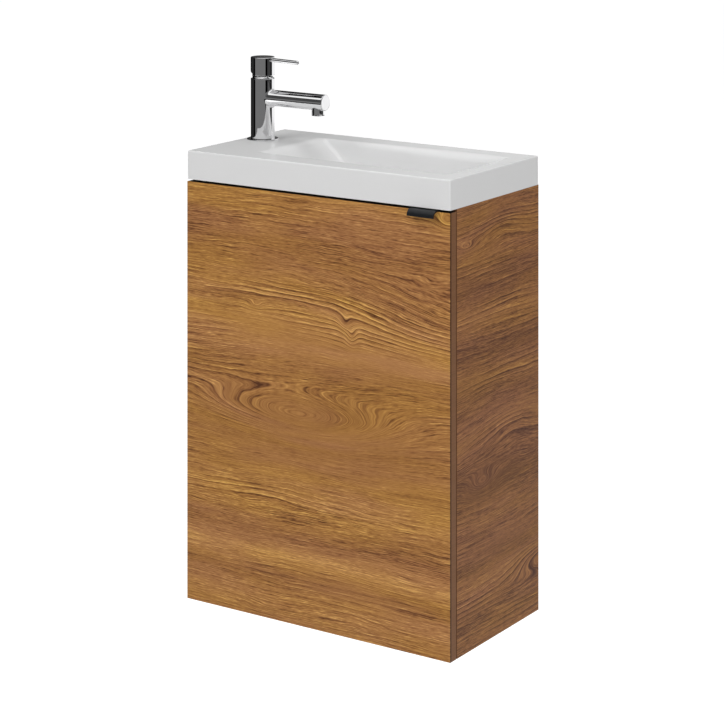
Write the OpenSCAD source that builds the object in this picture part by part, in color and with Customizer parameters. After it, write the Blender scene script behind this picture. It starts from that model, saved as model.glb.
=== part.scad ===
// Wall-hung cloakroom vanity unit: wood-veneer cupboard, slim moulded basin and lever mixer tap.
// Millimetres. The origin is on the wall plane, at the middle of the cabinet's lower edge.
// +X points right as seen from the front, +Y into the wall, +Z up.

/* [Overall] */
// Width over the side panels and the basin
unit_w = 400; // [380:1:440]
// Depth from the wall to the door's face and the basin's front
unit_d = 216; // [212:1:240]
// Height from the cabinet's lower edge to the basin's top
unit_h = 581; // [560:1:640]

/* [Cabinet] */
// Thickness of the side, bottom and rail boards
board_t = 15; // [14:0.5:18]
// Height of the rail behind the door's top
front_rail_h = 50; // [40:1:60]
// Height of the hanging rail at the back
hang_rail_h = 60; // [50:1:70]
// Space left behind the hanging rail for the wall plates
wall_gap = 18; // [16:0.5:20]
// Height of the low rail at the back
low_rail_h = 60; // [50:1:80]
// Diameter of the wooden dowels
dowel_d = 8; // [6:0.5:9]
// Length of the wooden dowels
dowel_l = 30; // [26:1:34]
// Diameter of the cam discs
cam_d = 15; // [12:0.5:16]
// Depth of the cam discs in their board
cam_t = 12; // [9:0.5:12.5]

/* [Door] */
// Thickness of the door
door_t = 14; // [13:0.5:16]
// Gap between the door's back and the cabinet
door_gap = 1.5; // [1.4:0.1:2]
// Dark gap between the door's top and the basin
reveal = 3; // [2.8:0.1:5]
// Length of the finger pull
pull_l = 38; // [30:1:60]
// Distance from the pull to the door's right edge
pull_inset = 18; // [14:1:40]
// Radius of the pull's curved lip
pull_r = 8.5; // [7.5:0.5:12]
// Sheet thickness of the pull
pull_t = 1.5; // [1:0.1:2]
// Depth of the pull's fixing tab on the door's top edge
pull_tab = 10; // [9:0.5:11]

/* [Hinges] */
// Diameter of the hinge cup
cup_d = 35; // [34:0.5:36]
// Depth of the hinge cup in the door
cup_depth = 11; // [10.5:0.1:11.5]
// Distance from the door's edge to the cup
cup_inset = 3; // [2.8:0.1:4]
// Distance from the door's ends to the cup centres
cup_end = 90; // [75:1:110]
// Distance from the door's edge to the cup pin
pin_in = 8; // [7.8:0.1:8.5]
// Depth of the cup pin below the door's back
pin_deep = 4; // [3.8:0.1:4.5]
// Distance from the side panel's inner face to the arm pin
arm_in = 27; // [26:0.5:28]
// Distance from the cabinet's front edge back to the arm pin
arm_back = 8.5; // [8:0.5:9]
// Distance from the cabinet's front edge to the plate screws
plate_set = 37; // [35:0.5:40]

/* [Hangers] */
// Height of the hanger box
hanger_h = 58; // [54:1:64]
// Depth of the hanger box
hanger_l = 48; // [44:1:56]
// Width of the hanger box
hanger_w = 17; // [16:0.5:20]
// Width of a wall plate
plate_w = 50; // [46:1:56]
// Height of a wall plate
plate_h = 65; // [60:1:76]
// Sheet thickness of a wall plate
plate_t = 2; // [1.5:0.1:2.5]
// Distance from a wall plate's outer end to its holes
plate_hole_in = 38; // [34:1:40]
// Height between the two holes of a wall plate
plate_hole_step = 30; // [24:1:34]
// Diameter of the wall plate's holes
plate_hole_d = 6; // [5:0.5:7]

/* [Basin] */
// Height of the basin's edge
slab_h = 37; // [34:1:44]
// Thickness of the tap deck
deck_t = 12; // [10:0.5:14]
// Width of the deck left of the bowl
deck_w = 88; // [84:1:96]
// Width of the rim right of the bowl
rim_right = 20; // [18:1:34]
// Width of the rim in front of the bowl
rim_front = 32; // [32:1:40]
// Width of the rim behind the bowl
rim_back = 30; // [29.5:0.5:38]
// Depth of the bowl at the waste
bowl_deep = 62; // [56:1:68]
// How much the floor rises towards the right
floor_rise = 10; // [4:1:16]
// Run of the ramp on the left of the bowl
ramp_run = 78; // [70:1:84]
// Thickness of the bowl's wall
bowl_t = 7; // [6:0.5:8]
// Radius of the bowl's lower corners
bowl_r = 14; // [10:1:18]
// Height of the softened edge round the bowl
edge_soft = 9; // [6:0.5:10]
// Width of the basin's edge bevel
edge_bevel = 1.5; // [1:0.1:2]

/* [Waste] */
// Distance from the bowl's left edge to the waste centre
waste_in = 120; // [112:1:130]
// Diameter of the waste flange
flange_d = 64; // [60:1:68]
// Outer diameter of the waste's threaded tail
tail_d = 41; // [38:0.5:42]
// Length of the tail below the bowl's floor
tail_l = 60; // [52:1:70]
// Diameter of the plug's cap
plug_d = 42; // [40:0.5:46]
// Outer diameter of the trap's chamber
trap_d = 60; // [58:1:66]
// Height of the trap's chamber
trap_h = 80; // [76:1:96]
// Height of the trap's cup below the chamber
trap_cup_h = 44; // [36:1:60]
// Outer diameter of the waste pipe
pipe_d = 32; // [30:0.5:34]

/* [Tap] */
// Distance from the basin's left edge to the tap's axis
tap_in = 28.5; // [27:0.5:32]
// Distance from the basin's front to the tap's axis
tap_front = 127; // [110:1:140]
// Diameter of the tap's column
column_d = 32; // [31.5:0.1:34]
// Height of the column's top above the basin
column_h = 82; // [80:1:92]
// Height of the head's top above the basin
head_top = 110.5; // [110:0.5:122]
// Diameter of the head
head_d = 32.4; // [32:0.1:35]
// Width of the bright neck between column and head
neck_gap = 4; // [3.5:0.1:5]
// Diameter of the base ring
base_d = 42.5; // [42:0.5:46]
// Height of the spout's axis above the basin
spout_z = 56.7; // [55:0.1:58]
// Diameter of the spout
spout_d = 21.4; // [20:0.1:22]
// Reach of the spout from the tap's axis
spout_l = 102; // [90:1:120]
// Distance from the spout's end to the aerator's axis
aerator_in = 12; // [11:0.5:14]
// Diameter of the aerator's shell
aerator_d = 16.9; // [15:0.1:17.5]
// How far the aerator stands out below the spout
aerator_drop = 7; // [5:0.5:9]
// Diameter of the lever pin
lever_d = 5.5; // [5:0.1:6.5]
// Reach of the lever's tip from the tap's axis
lever_l = 59; // [50:1:70]
// Downward tilt of the lever
lever_tilt = 1.5; // [0:0.5:4]
// Diameter of the tap hole in the basin
tap_hole_d = 35; // [33:0.5:36]
// Bore of the tap's water inlets
inlet_d = 9; // [8:0.1:9.4]
// Depth of the tap's water inlets
inlet_l = 12; // [10:0.5:16]
// Angle through which the lever lifts
lift_angle = 22; // [15:1:24]

/* [Hidden] */
$fn = 64;
hull_fn = 32;
cut = 1;
fit = 0.05;
loose = 0.15;
gap = 0.3;
half_w = unit_w / 2;
inner = half_w - board_t;
slab_z = unit_h - slab_h;
front_y = -unit_d;
door_y = front_y + door_t;
case_y = door_y + door_gap;
door_top = slab_z - reveal;
hang_y = -wall_gap - board_t;
hang_z = slab_z - hang_rail_h;
rail_z = slab_z - front_rail_h;

// Corner joints: axes of the dowels and the bolts as [y, z], for the bottom panel, then the three rails
dowel_bite = 11;
bolt_bite = 10;
bolt_reach = 24;
bolt_r = 3;
mid_t = board_t / 2;
dowel_end = 40;
dowel_up = 15;
bolt_up = 36;
rail_feet = [[case_y + mid_t, rail_z], [hang_y + mid_t, hang_z], [-mid_t, board_t]];
dowel_spots = concat([[-dowel_end, mid_t], [case_y + dowel_end, mid_t]],
    [for (f = rail_feet) f + [0, dowel_up]]);
bolt_spots = concat([[case_y / 2, mid_t]], [for (f = rail_feet) f + [0, bolt_up]]);
disc_x = inner - bolt_reach - cam_d / 2;

// Hinges
hinge_zs = [door_top - cup_end, cup_end];
cup_r = cup_d / 2;
cup_wall = 0.8;
cup_x = -half_w + cup_inset + cup_r;
cup_flange_t = 0.8;
cup_flange_w = 12;
cup_screw_z = 22.5;
cup_screw_x = cup_x + 9.5;
pin_xy = [-half_w + pin_in, door_y - pin_deep];
arm_xy = [-inner + arm_in, case_y + arm_back];
pin_r = 1.2;
arm_pin_r = 1.5;
eye_r = 2.6;
arm_eye_r = 3.2;
link_t = 2.4;
link_h = 10;
elbow_in = 11.8;
elbow_front = 2.1;
elbow_xy = pin_xy + [elbow_in, -elbow_front];
cheek_t = 1.5;
cheek_z = 6.5;
mount_t = 3.5;
mount_h = 12;
wing_h = 50;
wing_w = 14;
plate_y = case_y + plate_set;
mount_l = 54;
mount_front = plate_y - mount_l / 3;
mount_back = mount_front + mount_l;
mount_rise = 9;
arm_depth = 13;
screw_r = 1.9;
screw_head_r = 3.6;
screw_head_t = 1.6;
plate_screw_l = 14;
cup_screw_l = 11;
plate_screw_z = 16;
lug_z = 6;
lug_t = 3.2;
cup_pin_l = 17.2;

// Finger pull
pull_x1 = half_w - pull_inset;
pull_x0 = pull_x1 - pull_l;
pull_run = 1.5;
pull_screw_in = 8;
pull_screw_xs = [pull_x0 + pull_screw_in, pull_x1 - pull_screw_in];
pull_screw_y = front_y + door_t / 2;
pull_screw_r = 1.5;
pull_head_r = 2.9;
pull_head_t = 1;
pull_screw_l = 14;

// Hangers
hang_box_top = hang_z - 6;
hang_box_y = -12;
hang_box_z = hang_box_top - hanger_h;
hook_w = 12;
hook_t = 2.5;
hook_l = 29;
hook_z = hang_box_top - 17;
hook_drop = 11;
hook_tip_y = -plate_t - 1.3;
hook_side = 2.5;
hook_x = inner - hook_side - hook_w;
lip_y = hook_tip_y - hook_t - 0.5;
lip_t = 2;
lip_z = hook_z - gap;
lip_h = 12.7;
plate_side = 0.5;
plate_z = hang_box_z - 15;
plate_hole_z = plate_z + 12;
peg_r = 5;
peg_l = 11;
peg_up = 14.5;
peg_step = 29;
peg_zs = [hang_box_z + peg_up, hang_box_z + peg_up + peg_step];
adjuster_r = 3.5;
adjuster_l = 18;
adjuster_step = 27.3;
adjuster_zs = [hang_box_z + peg_up, hang_box_z + peg_up + adjuster_step];

// Basin
bowl_x0 = -half_w + deck_w;
bowl_x1 = half_w - rim_right;
bowl_y0 = front_y + rim_front;
bowl_y1 = -rim_back;
floor_z = unit_h - bowl_deep;
lean = 4;
corner_r = 12;
tap_x = -half_w + tap_in;
tap_y = front_y + tap_front;

// Waste and trap
waste_x = bowl_x0 + waste_in;
waste_y = (bowl_y0 + bowl_y1) / 2;
flange_t = 2;
upper_seal_t = 0.8;
flange_z = floor_z + upper_seal_t;
seal_t = 2.5;
tail_r = tail_d / 2;
tail_wall = 3;
bore_r = tail_r - tail_wall;
tail_z = floor_z - tail_l;
waste_hole_r = tail_r + 1.5;
under_z = floor_z - bowl_t;
backnut_h = 10;
backnut_z = under_z - seal_t - backnut_h;
backnut_r = 29;
plug_r = plug_d / 2;
plug_t = 5;
stem_r = 4;
spider_z = floor_z - 24;
spider_h = 6;
plug_lift = 8;
plug_seal_t = 2;
plug_z = flange_z + flange_t + gap + plug_seal_t;
washer_t = 2.5;
collar_t = 3;
neck_r = tail_r - 3.5;
neck_wall = 2.5;
trap_nut_r = tail_r + 5.5;
trap_nut_lip = 8;
chamber_r = trap_d / 2;
wall_t = 2.5;
collar_z = tail_z - washer_t - collar_t;
chamber_top = collar_z - 21;
chamber_z = chamber_top - trap_h;
cup_top_r = chamber_r + 4;
cup_low_r = chamber_r - 1;
outlet_z = chamber_top - 23;
pipe_r = pipe_d / 2;
pipe_wall = 2.5;
pipe_end_r = pipe_r - 1;
outlet_r = pipe_r + 3.5;
outlet_y = waste_y + chamber_r + 28;
outlet_nut_r = outlet_r + 4.5;
outlet_nut_l = 22;
outlet_nut_y = outlet_y + washer_t + 6 - outlet_nut_l;
pipe_y = outlet_y - 24;

// Tap
column_r = column_d / 2;
column_z = unit_h + column_h;
head_r = head_d / 2;
head_z = column_z + neck_gap;
head_end = unit_h + head_top;
pivot_z = head_z;
base_t = 2;
base_z = unit_h + base_t;
base_inner_r = column_r - 2;
base_seal_t = 1;
base_seal_r = column_r - 0.9;
base_seal_out_r = base_d / 2 - 1.3;
dome_r = 14;
dome_bore = 9.5;
dome_hollow = 11.5;
head_hollow = dome_r + 0.8;
cartridge_r = 12.5;
cartridge_z = column_z - 13;
cartridge_top = column_z - 4;
boss_r = 9;
boss_top = pivot_z - 3;
water_r = 3.5;
stem_ball = 5;
stem_w = 5.6;
stem_pin_r = 1;
stem_top = pivot_z + 19;
grub_z = stem_top - 2.5;
lift_spare = 2;
spout_axis = unit_h + spout_z;
spout_r = spout_d / 2;
spout_bore = 7.5;
spigot_r = 9.4;
spigot_l = 6;
end_t = 2;
aerator_x = spout_l - aerator_in;
aerator_r = aerator_d / 2;
aerator_z = spout_axis - spout_r - aerator_drop;
aerator_neck_r = aerator_r - 1.5;
aerator_bore = aerator_neck_r - 1.4;
lever_z = head_end - 3.4;
lever_r = lever_d / 2;
inlet_xy = [[4.5, 6.5], [4.5, -6.5]];
inlet_feed = 2.6;
stud_x = -8.5;
stud_r = 4;
stud_l = 70;
stud_bite = 12;
deck_z = unit_h - deck_t;
shoe_r = 22;
shoe_t = 2;
shoe_seal_t = 3;
shoe_seal_z = deck_z - shoe_seal_t;
shoe_z = shoe_seal_z - shoe_t - fit;
stud_nut_r = 6.5;
stud_nut_h = 7;
grub_r = 2;

// A board given by its lowest and highest corners
module board(low, high) {
    translate(low) cube(high - low);
}

// A solid cylinder along X, starting at the given point
module rod_x(at, r, l) {
    translate(at) rotate([0, 90, 0]) cylinder(r = r, h = l);
}

// A solid cylinder along +Y, starting at the given point
module rod_y(at, r, l) {
    translate(at) rotate([-90, 0, 0]) cylinder(r = r, h = l);
}

// A ring standing on the given point
module ring(at, r_out, r_in, h) {
    translate(at) difference() {
        cylinder(r = r_out, h = h);
        translate([0, 0, -cut]) cylinder(r = r_in, h = h + 2 * cut);
    }
}

// A hexagonal nut standing on the given point, r being half its width over the flats
module hex_nut(at, r, r_in, h) {
    translate(at) difference() {
        cylinder(r = r / cos(30), h = h, $fn = 6);
        translate([0, 0, -cut]) cylinder(r = r_in, h = h + 2 * cut);
    }
}

// Cabinet boards and their joints

module dowel_set(r) {
    for (p = dowel_spots) {
        rod_x([inner + dowel_bite - dowel_l, p[0], p[1]], r, dowel_l);
        rod_x([-inner - dowel_bite, p[0], p[1]], r, dowel_l);
    }
}

module bolt_set(r) {
    for (p = bolt_spots) {
        rod_x([inner - bolt_reach, p[0], p[1]], r, bolt_reach + bolt_bite);
        rod_x([-inner - bolt_bite, p[0], p[1]], r, bolt_reach + bolt_bite);
    }
}

module disc_set(r, extra) {
    for (x = [-disc_x, disc_x]) {
        translate([x, bolt_spots[0][0], -extra]) cylinder(r = r, h = cam_t + extra);
        rod_y([x, case_y + board_t - cam_t, bolt_spots[1][1]], r, cam_t + extra);
        rod_y([x, hang_y - extra, bolt_spots[2][1]], r, cam_t + extra);
        rod_y([x, -board_t - extra, bolt_spots[3][1]], r, cam_t + extra);
    }
}

module jointed() {
    difference() {
        children();
        dowel_set(dowel_d / 2 + fit);
        bolt_set(bolt_r + fit);
        disc_set(cam_d / 2 + fit, cut);
    }
}

module side_panel() {
    board([inner, case_y, 0], [half_w, 0, slab_z]);
}

// Repeats what is drawn for the right side on the side asked for
module sided(side) {
    mirror([side < 0 ? 1 : 0, 0, 0]) children();
}

module left_side_panel() {
    color("peru") difference() {
        jointed() sided(-1) side_panel();
        sided(-1) peg_bores();
        for (z = hinge_zs, k = [-1, 1])
            rod_x([-inner - plate_screw_l + mount_t, plate_y, z + k * plate_screw_z],
                screw_r + fit, plate_screw_l);
    }
}

module right_side_panel() {
    color("peru") difference() {
        jointed() side_panel();
        peg_bores();
    }
}

module bottom_panel() {
    color("peru") jointed() board([-inner, case_y, 0], [inner, 0, board_t]);
}

module front_rail() {
    color("peru") jointed() board([-inner, case_y, rail_z], [inner, case_y + board_t, slab_z]);
}

module hanging_rail() {
    color("peru") jointed() board([-inner, hang_y, hang_z], [inner, -wall_gap, slab_z]);
}

module low_back_rail() {
    color("peru") jointed() board([-inner, -board_t, board_t], [inner, 0, board_t + low_rail_h]);
}

module wood_dowels() {
    color("burlywood") dowel_set(dowel_d / 2);
}

module cam_fittings() {
    slot_w = 1.5;
    color("silver") {
        difference() {
            bolt_set(bolt_r);
            disc_set(cam_d / 2 + fit, 0);
        }
        difference() {
            disc_set(cam_d / 2, 0);
            for (x = [-disc_x, disc_x])
                board([x - cam_d / 3, bolt_spots[0][0] - slot_w / 2, -cut],
                    [x + cam_d / 3, bolt_spots[0][0] + slot_w / 2, slot_w]);
        }
    }
}

// Hangers, drawn for the right side

module pegs(r, l) {
    for (z = peg_zs) rod_x([inner, hang_box_y - hanger_l / 2, z], r, l);
}

module peg_bores() {
    pegs(peg_r + fit, peg_l + fit);
}

module hook_tongue(grow) {
    board([hook_x - grow, hang_box_y - hook_l, hook_z - grow],
        [hook_x + hook_w + grow, hook_tip_y, hook_z + hook_t + grow]);
}

module adjusters(grow) {
    for (z = adjuster_zs)
        rod_y([inner - hanger_w / 2, hang_box_y - hanger_l, z], adjuster_r + grow, adjuster_l + grow);
}

module hanger_box(side) {
    color("lightgray") sided(side) difference() {
        union() {
            board([inner - hanger_w, hang_box_y - hanger_l, hang_box_z],
                [inner, hang_box_y, hang_box_top]);
            pegs(peg_r, peg_l);
        }
        hook_tongue(loose);
        adjusters(loose);
    }
}

module hanger_hook(side) {
    color("silver") sided(side) {
        hook_tongue(0);
        board([hook_x, hook_tip_y - hook_t, hook_z - hook_drop], [hook_x + hook_w, hook_tip_y, hook_z]);
    }
}

module wall_plate(side) {
    x1 = inner - plate_side;
    x0 = x1 - plate_w;
    lip_x = x1 - hook_w - 2 * hook_side;
    color("silver") sided(side) difference() {
        union() {
            board([x0, -plate_t, plate_z], [x1, 0, plate_z + plate_h]);
            board([lip_x, lip_y - lip_t, lip_z - lip_h], [x1, -plate_t, lip_z - lip_h + lip_t]);
            board([lip_x, lip_y - lip_t, lip_z - lip_h], [x1, lip_y, lip_z]);
        }
        for (k = [0, 1])
            rod_y([x1 - plate_hole_in, -plate_t - cut, plate_hole_z + k * plate_hole_step],
                plate_hole_d / 2, plate_t + 2 * cut);
    }
}

module left_hanger_box() { hanger_box(-1); }

module right_hanger_box() { hanger_box(1); }

module left_hanger_hook() { hanger_hook(-1); }

module right_hanger_hook() { hanger_hook(1); }

module left_wall_plate() { wall_plate(-1); }

module right_wall_plate() { wall_plate(1); }

module hanger_adjusters() {
    slot_w = 1.4;
    slot_l = 5.6;
    x = inner - hanger_w / 2;
    y = hang_box_y - hanger_l;
    color("silver") for (side = [-1, 1]) sided(side) difference() {
        adjusters(0);
        for (z = adjuster_zs)
            board([x - slot_w / 2, y - cut, z - slot_l / 2], [x + slot_w / 2, y + slot_w, z + slot_l / 2]);
    }
}

// Door and what is fixed to it

module pull_screws(grow) {
    top = door_top + pull_t;
    for (x = pull_screw_xs) {
        translate([x, pull_screw_y, top - pull_screw_l])
            cylinder(r = pull_screw_r + grow, h = pull_screw_l);
        translate([x, pull_screw_y, top - pull_head_t - grow])
            cylinder(r = pull_head_r + grow, h = pull_head_t + 2 * grow);
    }
}

module cup_screws(grow) {
    for (z = hinge_zs, k = [-1, 1])
        rod_y([cup_screw_x, door_y + cup_flange_t - cup_screw_l, z + k * cup_screw_z],
            screw_r + grow, cup_screw_l);
}

module door_panel() {
    color("peru") difference() {
        board([-half_w, front_y, 0], [half_w, door_y, door_top]);
        for (z = hinge_zs)
            rod_y([cup_x, door_y - cup_depth - fit, z], cup_r + fit, cup_depth + cut);
        cup_screws(fit);
        pull_screws(fit);
    }
}

module finger_pull() {
    bend = [front_y - pull_run, door_top + pull_t - pull_r];
    color("black") difference() {
        translate([pull_x0, 0, 0]) rotate([90, 0, 90]) linear_extrude(pull_l) {
            translate([bend[0], door_top]) square([pull_run + pull_tab, pull_t]);
            translate(bend) intersection() {
                difference() {
                    circle(r = pull_r);
                    circle(r = pull_r - pull_t);
                }
                translate([-2 * pull_r, 0]) square(2 * pull_r);
            }
        }
        pull_screws(fit);
    }
}

module finger_pull_screws() {
    drive = 1.1;
    color("dimgray") difference() {
        pull_screws(0);
        for (x = pull_screw_xs) translate([x, pull_screw_y, door_top + pull_t - pull_head_t / 2])
            cylinder(r = drive, h = pull_head_t, $fn = 6);
    }
}

module door_bumpers() {
    bumper_r = 4;
    bumper_end = 12;
    color("white") for (z = [bumper_end, door_top - bumper_end])
        rod_y([half_w - board_t / 2, door_y, z], bumper_r, door_gap - gap);
}

// Hinges, drawn about their own height

// A strip of the plan between two points
module strip(a, b, t) {
    translate(a) rotate(atan2(b[1] - a[1], b[0] - a[0])) translate([0, -t / 2]) square([norm(b - a), t]);
}

module upright(at, r, h) {
    translate(at) cylinder(r = r, h = h, center = true);
}

module hinge_plate() {
    color("silver") difference() {
        union() {
            board([-inner, mount_front, -mount_h / 2], [-inner + mount_t, mount_back, mount_h / 2]);
            board([-inner, plate_y - wing_w / 2, -wing_h / 2],
                [-inner + mount_t, plate_y + wing_w / 2, wing_h / 2]);
        }
        for (k = [-1, 1]) {
            rod_x([-inner - cut, plate_y, k * plate_screw_z], screw_r + loose, mount_t + 2 * cut);
            rod_x([-inner + mount_t - screw_head_t, plate_y, k * plate_screw_z],
                screw_head_r + loose, mount_t);
        }
    }
}

module hinge_arm() {
    nose = arm_eye_r + 1;
    foot = -inner + mount_t;
    top = -inner + arm_depth;
    rise_y = mount_front + mount_rise;
    side_z = cheek_z + cheek_t;
    color("silver") difference() {
        union() {
            for (z = [-side_z, cheek_z]) translate([0, 0, z]) {
                linear_extrude(cheek_t) polygon([
                    [foot, mount_back], [foot, mount_front], arm_xy + [-nose * 2, -nose],
                    arm_xy - [0, nose / 2], arm_xy + [0, nose / 2], [top, rise_y], [top, mount_back]
                ]);
                translate(arm_xy) cylinder(r = nose, h = cheek_t);
            }
            board([top - cheek_t, rise_y, -side_z], [top, mount_back, side_z]);
            board([foot, rise_y, -side_z], [top, mount_back - nose, side_z]);
        }
        upright(arm_xy, arm_pin_r + fit, 2 * side_z + 2 * cut);
    }
}

module hinge_link(clearance) {
    color("gray") translate([0, 0, -link_h / 2]) linear_extrude(link_h) difference() {
        union() {
            translate(pin_xy) circle(r = eye_r);
            translate(elbow_xy) circle(r = link_t / 2 + gap);
            translate(arm_xy) circle(r = arm_eye_r);
            strip(pin_xy, elbow_xy, link_t);
            strip(elbow_xy, arm_xy, link_t);
        }
        translate(pin_xy) circle(r = pin_r + clearance);
        translate(arm_xy) circle(r = arm_pin_r + fit);
    }
}

module hinge_cup() {
    hollow_r = cup_r - cup_wall;
    floor_y = door_y - cup_depth + cup_wall;
    wing_z = cup_screw_z + cup_flange_w / 2;
    color("silver") difference() {
        union() {
            difference() {
                union() {
                    rod_y([cup_x, door_y - cup_depth, 0], cup_r, cup_depth);
                    rod_y([cup_x, door_y, 0], cup_r + 1, cup_flange_t);
                    board([cup_screw_x - cup_flange_w / 2, door_y, -wing_z],
                        [cup_screw_x + cup_flange_w / 2, door_y + cup_flange_t, wing_z]);
                }
                rod_y([cup_x, floor_y, 0], hollow_r, cup_depth + cut);
            }
            intersection() {
                rod_y([cup_x, floor_y - cup_wall / 2, 0], hollow_r + cup_wall / 2, cup_depth);
                for (z = [-lug_z - lug_t, lug_z])
                    board([-half_w, floor_y - cup_wall / 2, z],
                        [pin_xy[0] + eye_r + cut, door_y - cut, z + lug_t]);
            }
        }
        upright(pin_xy, pin_r + fit, cup_pin_l + 4 * fit);
        for (k = [-1, 1])
            rod_y([cup_screw_x, door_y - cut, k * cup_screw_z], screw_r + loose, cup_flange_t + 2 * cut);
    }
}

module at_hinge(k) {
    translate([0, 0, hinge_zs[k]]) children();
}

module upper_hinge_plate() { at_hinge(0) hinge_plate(); }

module lower_hinge_plate() { at_hinge(1) hinge_plate(); }

module upper_hinge_arm() { at_hinge(0) hinge_arm(); }

module lower_hinge_arm() { at_hinge(1) hinge_arm(); }

module upper_hinge_link() { at_hinge(0) hinge_link(fit); }

module lower_hinge_link() { at_hinge(1) hinge_link(loose); }

module upper_hinge_cup() { at_hinge(0) hinge_cup(); }

module lower_hinge_cup() { at_hinge(1) hinge_cup(); }

module hinge_arm_pins() {
    color("dimgray") for (k = [0, 1]) at_hinge(k) upright(arm_xy, arm_pin_r, 2 * (cheek_z + cheek_t));
}

module hinge_cup_pins() {
    color("dimgray") for (k = [0, 1]) at_hinge(k) upright(pin_xy, pin_r, cup_pin_l);
}

module hinge_plate_screws() {
    x = -inner + mount_t;
    color("silver") for (z = hinge_zs, k = [-1, 1]) {
        rod_x([x - plate_screw_l, plate_y, z + k * plate_screw_z], screw_r,
            plate_screw_l - screw_head_t / 2);
        rod_x([x - screw_head_t, plate_y, z + k * plate_screw_z], screw_head_r, screw_head_t);
    }
}

module hinge_cup_screws() {
    color("silver") {
        cup_screws(0);
        for (z = hinge_zs, k = [-1, 1])
            rod_y([cup_screw_x, door_y + cup_flange_t, z + k * cup_screw_z],
                screw_head_r, screw_head_t);
    }
}

// Basin

// The bowl's hollow, or its outer skin when it is grown by the wall
module bowl_form(grow) {
    top_z = unit_h - edge_soft;
    reach = edge_soft + corner_r;
    foot = edge_soft + lean + bowl_r;
    hull() {
        for (x = [bowl_x0 + reach, bowl_x1 - reach], y = [bowl_y0 + reach, bowl_y1 - reach])
            translate([x, y, top_z - 1]) cylinder(r = corner_r + grow, h = 1, $fn = hull_fn);
        for (y = [bowl_y0 + foot, bowl_y1 - foot]) {
            translate([bowl_x0 + ramp_run, y, floor_z + bowl_r])
                sphere(r = bowl_r + grow, $fn = hull_fn);
            translate([bowl_x1 - foot, y, floor_z + floor_rise + bowl_r])
                sphere(r = bowl_r + grow, $fn = hull_fn);
        }
    }
}

// The softened edge between the rim and the bowl
module bowl_edge() {
    low = edge_soft + corner_r;
    // Each step holds the height below the rim and how far the hollow has drawn in there
    steps = [[edge_soft + 2, edge_soft], [edge_soft * 0.3, edge_soft * 0.45], [0, 0]];
    hull() for (x = [bowl_x0 + low, bowl_x1 - low], y = [bowl_y0 + low, bowl_y1 - low], step = steps)
        translate([x, y, unit_h - step[0]]) cylinder(r = low - step[1], h = 1, $fn = hull_fn);
}

// The slab with its bevelled upper edges
module slab_block() {
    b = edge_bevel;
    intersection() {
        rotate([90, 0, 0]) linear_extrude(unit_d) polygon([
            [-half_w, slab_z], [half_w, slab_z], [half_w, unit_h - b], [half_w - b, unit_h],
            [b - half_w, unit_h], [-half_w, unit_h - b]
        ]);
        translate([-half_w, 0, 0]) rotate([90, 0, 90]) linear_extrude(unit_w) polygon([
            [front_y, slab_z], [0, slab_z], [0, unit_h], [front_y + b, unit_h], [front_y, unit_h - b]
        ]);
    }
}

module basin() {
    seat_r = flange_d / 2 + 1;
    color("white") difference() {
        union() {
            difference() {
                slab_block();
                board([-inner, case_y + board_t, slab_z - cut], [inner, hang_y, deck_z]);
                translate([tap_x, tap_y, slab_z - cut])
                    cylinder(r = shoe_r + 1, h = deck_z - slab_z + cut);
            }
            bowl_form(bowl_t);
            translate([waste_x, waste_y, under_z]) cylinder(r = seat_r, h = bowl_t);
        }
        bowl_form(0);
        bowl_edge();
        translate([waste_x, waste_y, floor_z]) cylinder(r = seat_r, h = floor_rise);
        translate([waste_x, waste_y, under_z - cut]) cylinder(r = waste_hole_r, h = bowl_t + 2 * cut);
        translate([tap_x, tap_y, slab_z]) cylinder(r = tap_hole_d / 2, h = slab_h + cut);
    }
}

// Waste and bottle trap

module waste_flange() {
    hub_r = stem_r + 3;
    arm_w = 3;
    color("silver") difference() {
        union() {
            ring([waste_x, waste_y, flange_z], flange_d / 2, bore_r, flange_t);
            ring([waste_x, waste_y, tail_z], tail_r, bore_r, flange_z - tail_z + flange_t / 2);
            translate([waste_x, waste_y, spider_z]) {
                cylinder(r = hub_r, h = spider_h);
                for (a = [0, 120, 240]) rotate([0, 0, a]) translate([0, -arm_w / 2, 0])
                    cube([bore_r + tail_wall / 2, arm_w, spider_h]);
            }
        }
        translate([waste_x, waste_y, spider_z - cut]) cylinder(r = stem_r + fit, h = spider_h + 2 * cut);
    }
}

module waste_gaskets() {
    color("dimgray") {
        ring([waste_x, waste_y, floor_z], flange_d / 2 - 1, tail_r + fit, upper_seal_t);
        ring([waste_x, waste_y, under_z - seal_t], backnut_r, tail_r + fit, seal_t);
    }
}

module waste_backnut() {
    color("gold") hex_nut([waste_x, waste_y, backnut_z], backnut_r, tail_r + fit, backnut_h);
}

module waste_plug() {
    soft = 1.6;
    foot_z = spider_z - plug_lift - gap;
    color("silver") translate([waste_x, waste_y, 0]) {
        translate([0, 0, plug_z]) rotate_extrude() polygon([
            [0, 0], [plug_r - soft / 2, 0], [plug_r, soft / 2], [plug_r, plug_t - soft],
            [plug_r - soft, plug_t - soft / 3], [plug_r - 3 * soft, plug_t], [0, plug_t]
        ]);
        translate([0, 0, foot_z - 1]) cylinder(r = stem_r, h = plug_z - foot_z + 2);
        translate([0, 0, foot_z - 3]) cylinder(r = stem_r + 2, h = 3);
    }
}

module plug_seal() {
    color("dimgray") ring([waste_x, waste_y, plug_z - plug_seal_t], plug_r - 1, plug_r - 5, plug_seal_t);
}

module grip_ribs(r, z, h, count) {
    rib_r = 1.5;
    for (k = [0 : count - 1]) rotate([0, 0, k * 360 / count]) translate([r, 0, z])
        cylinder(r = rib_r, h = h);
}

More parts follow.
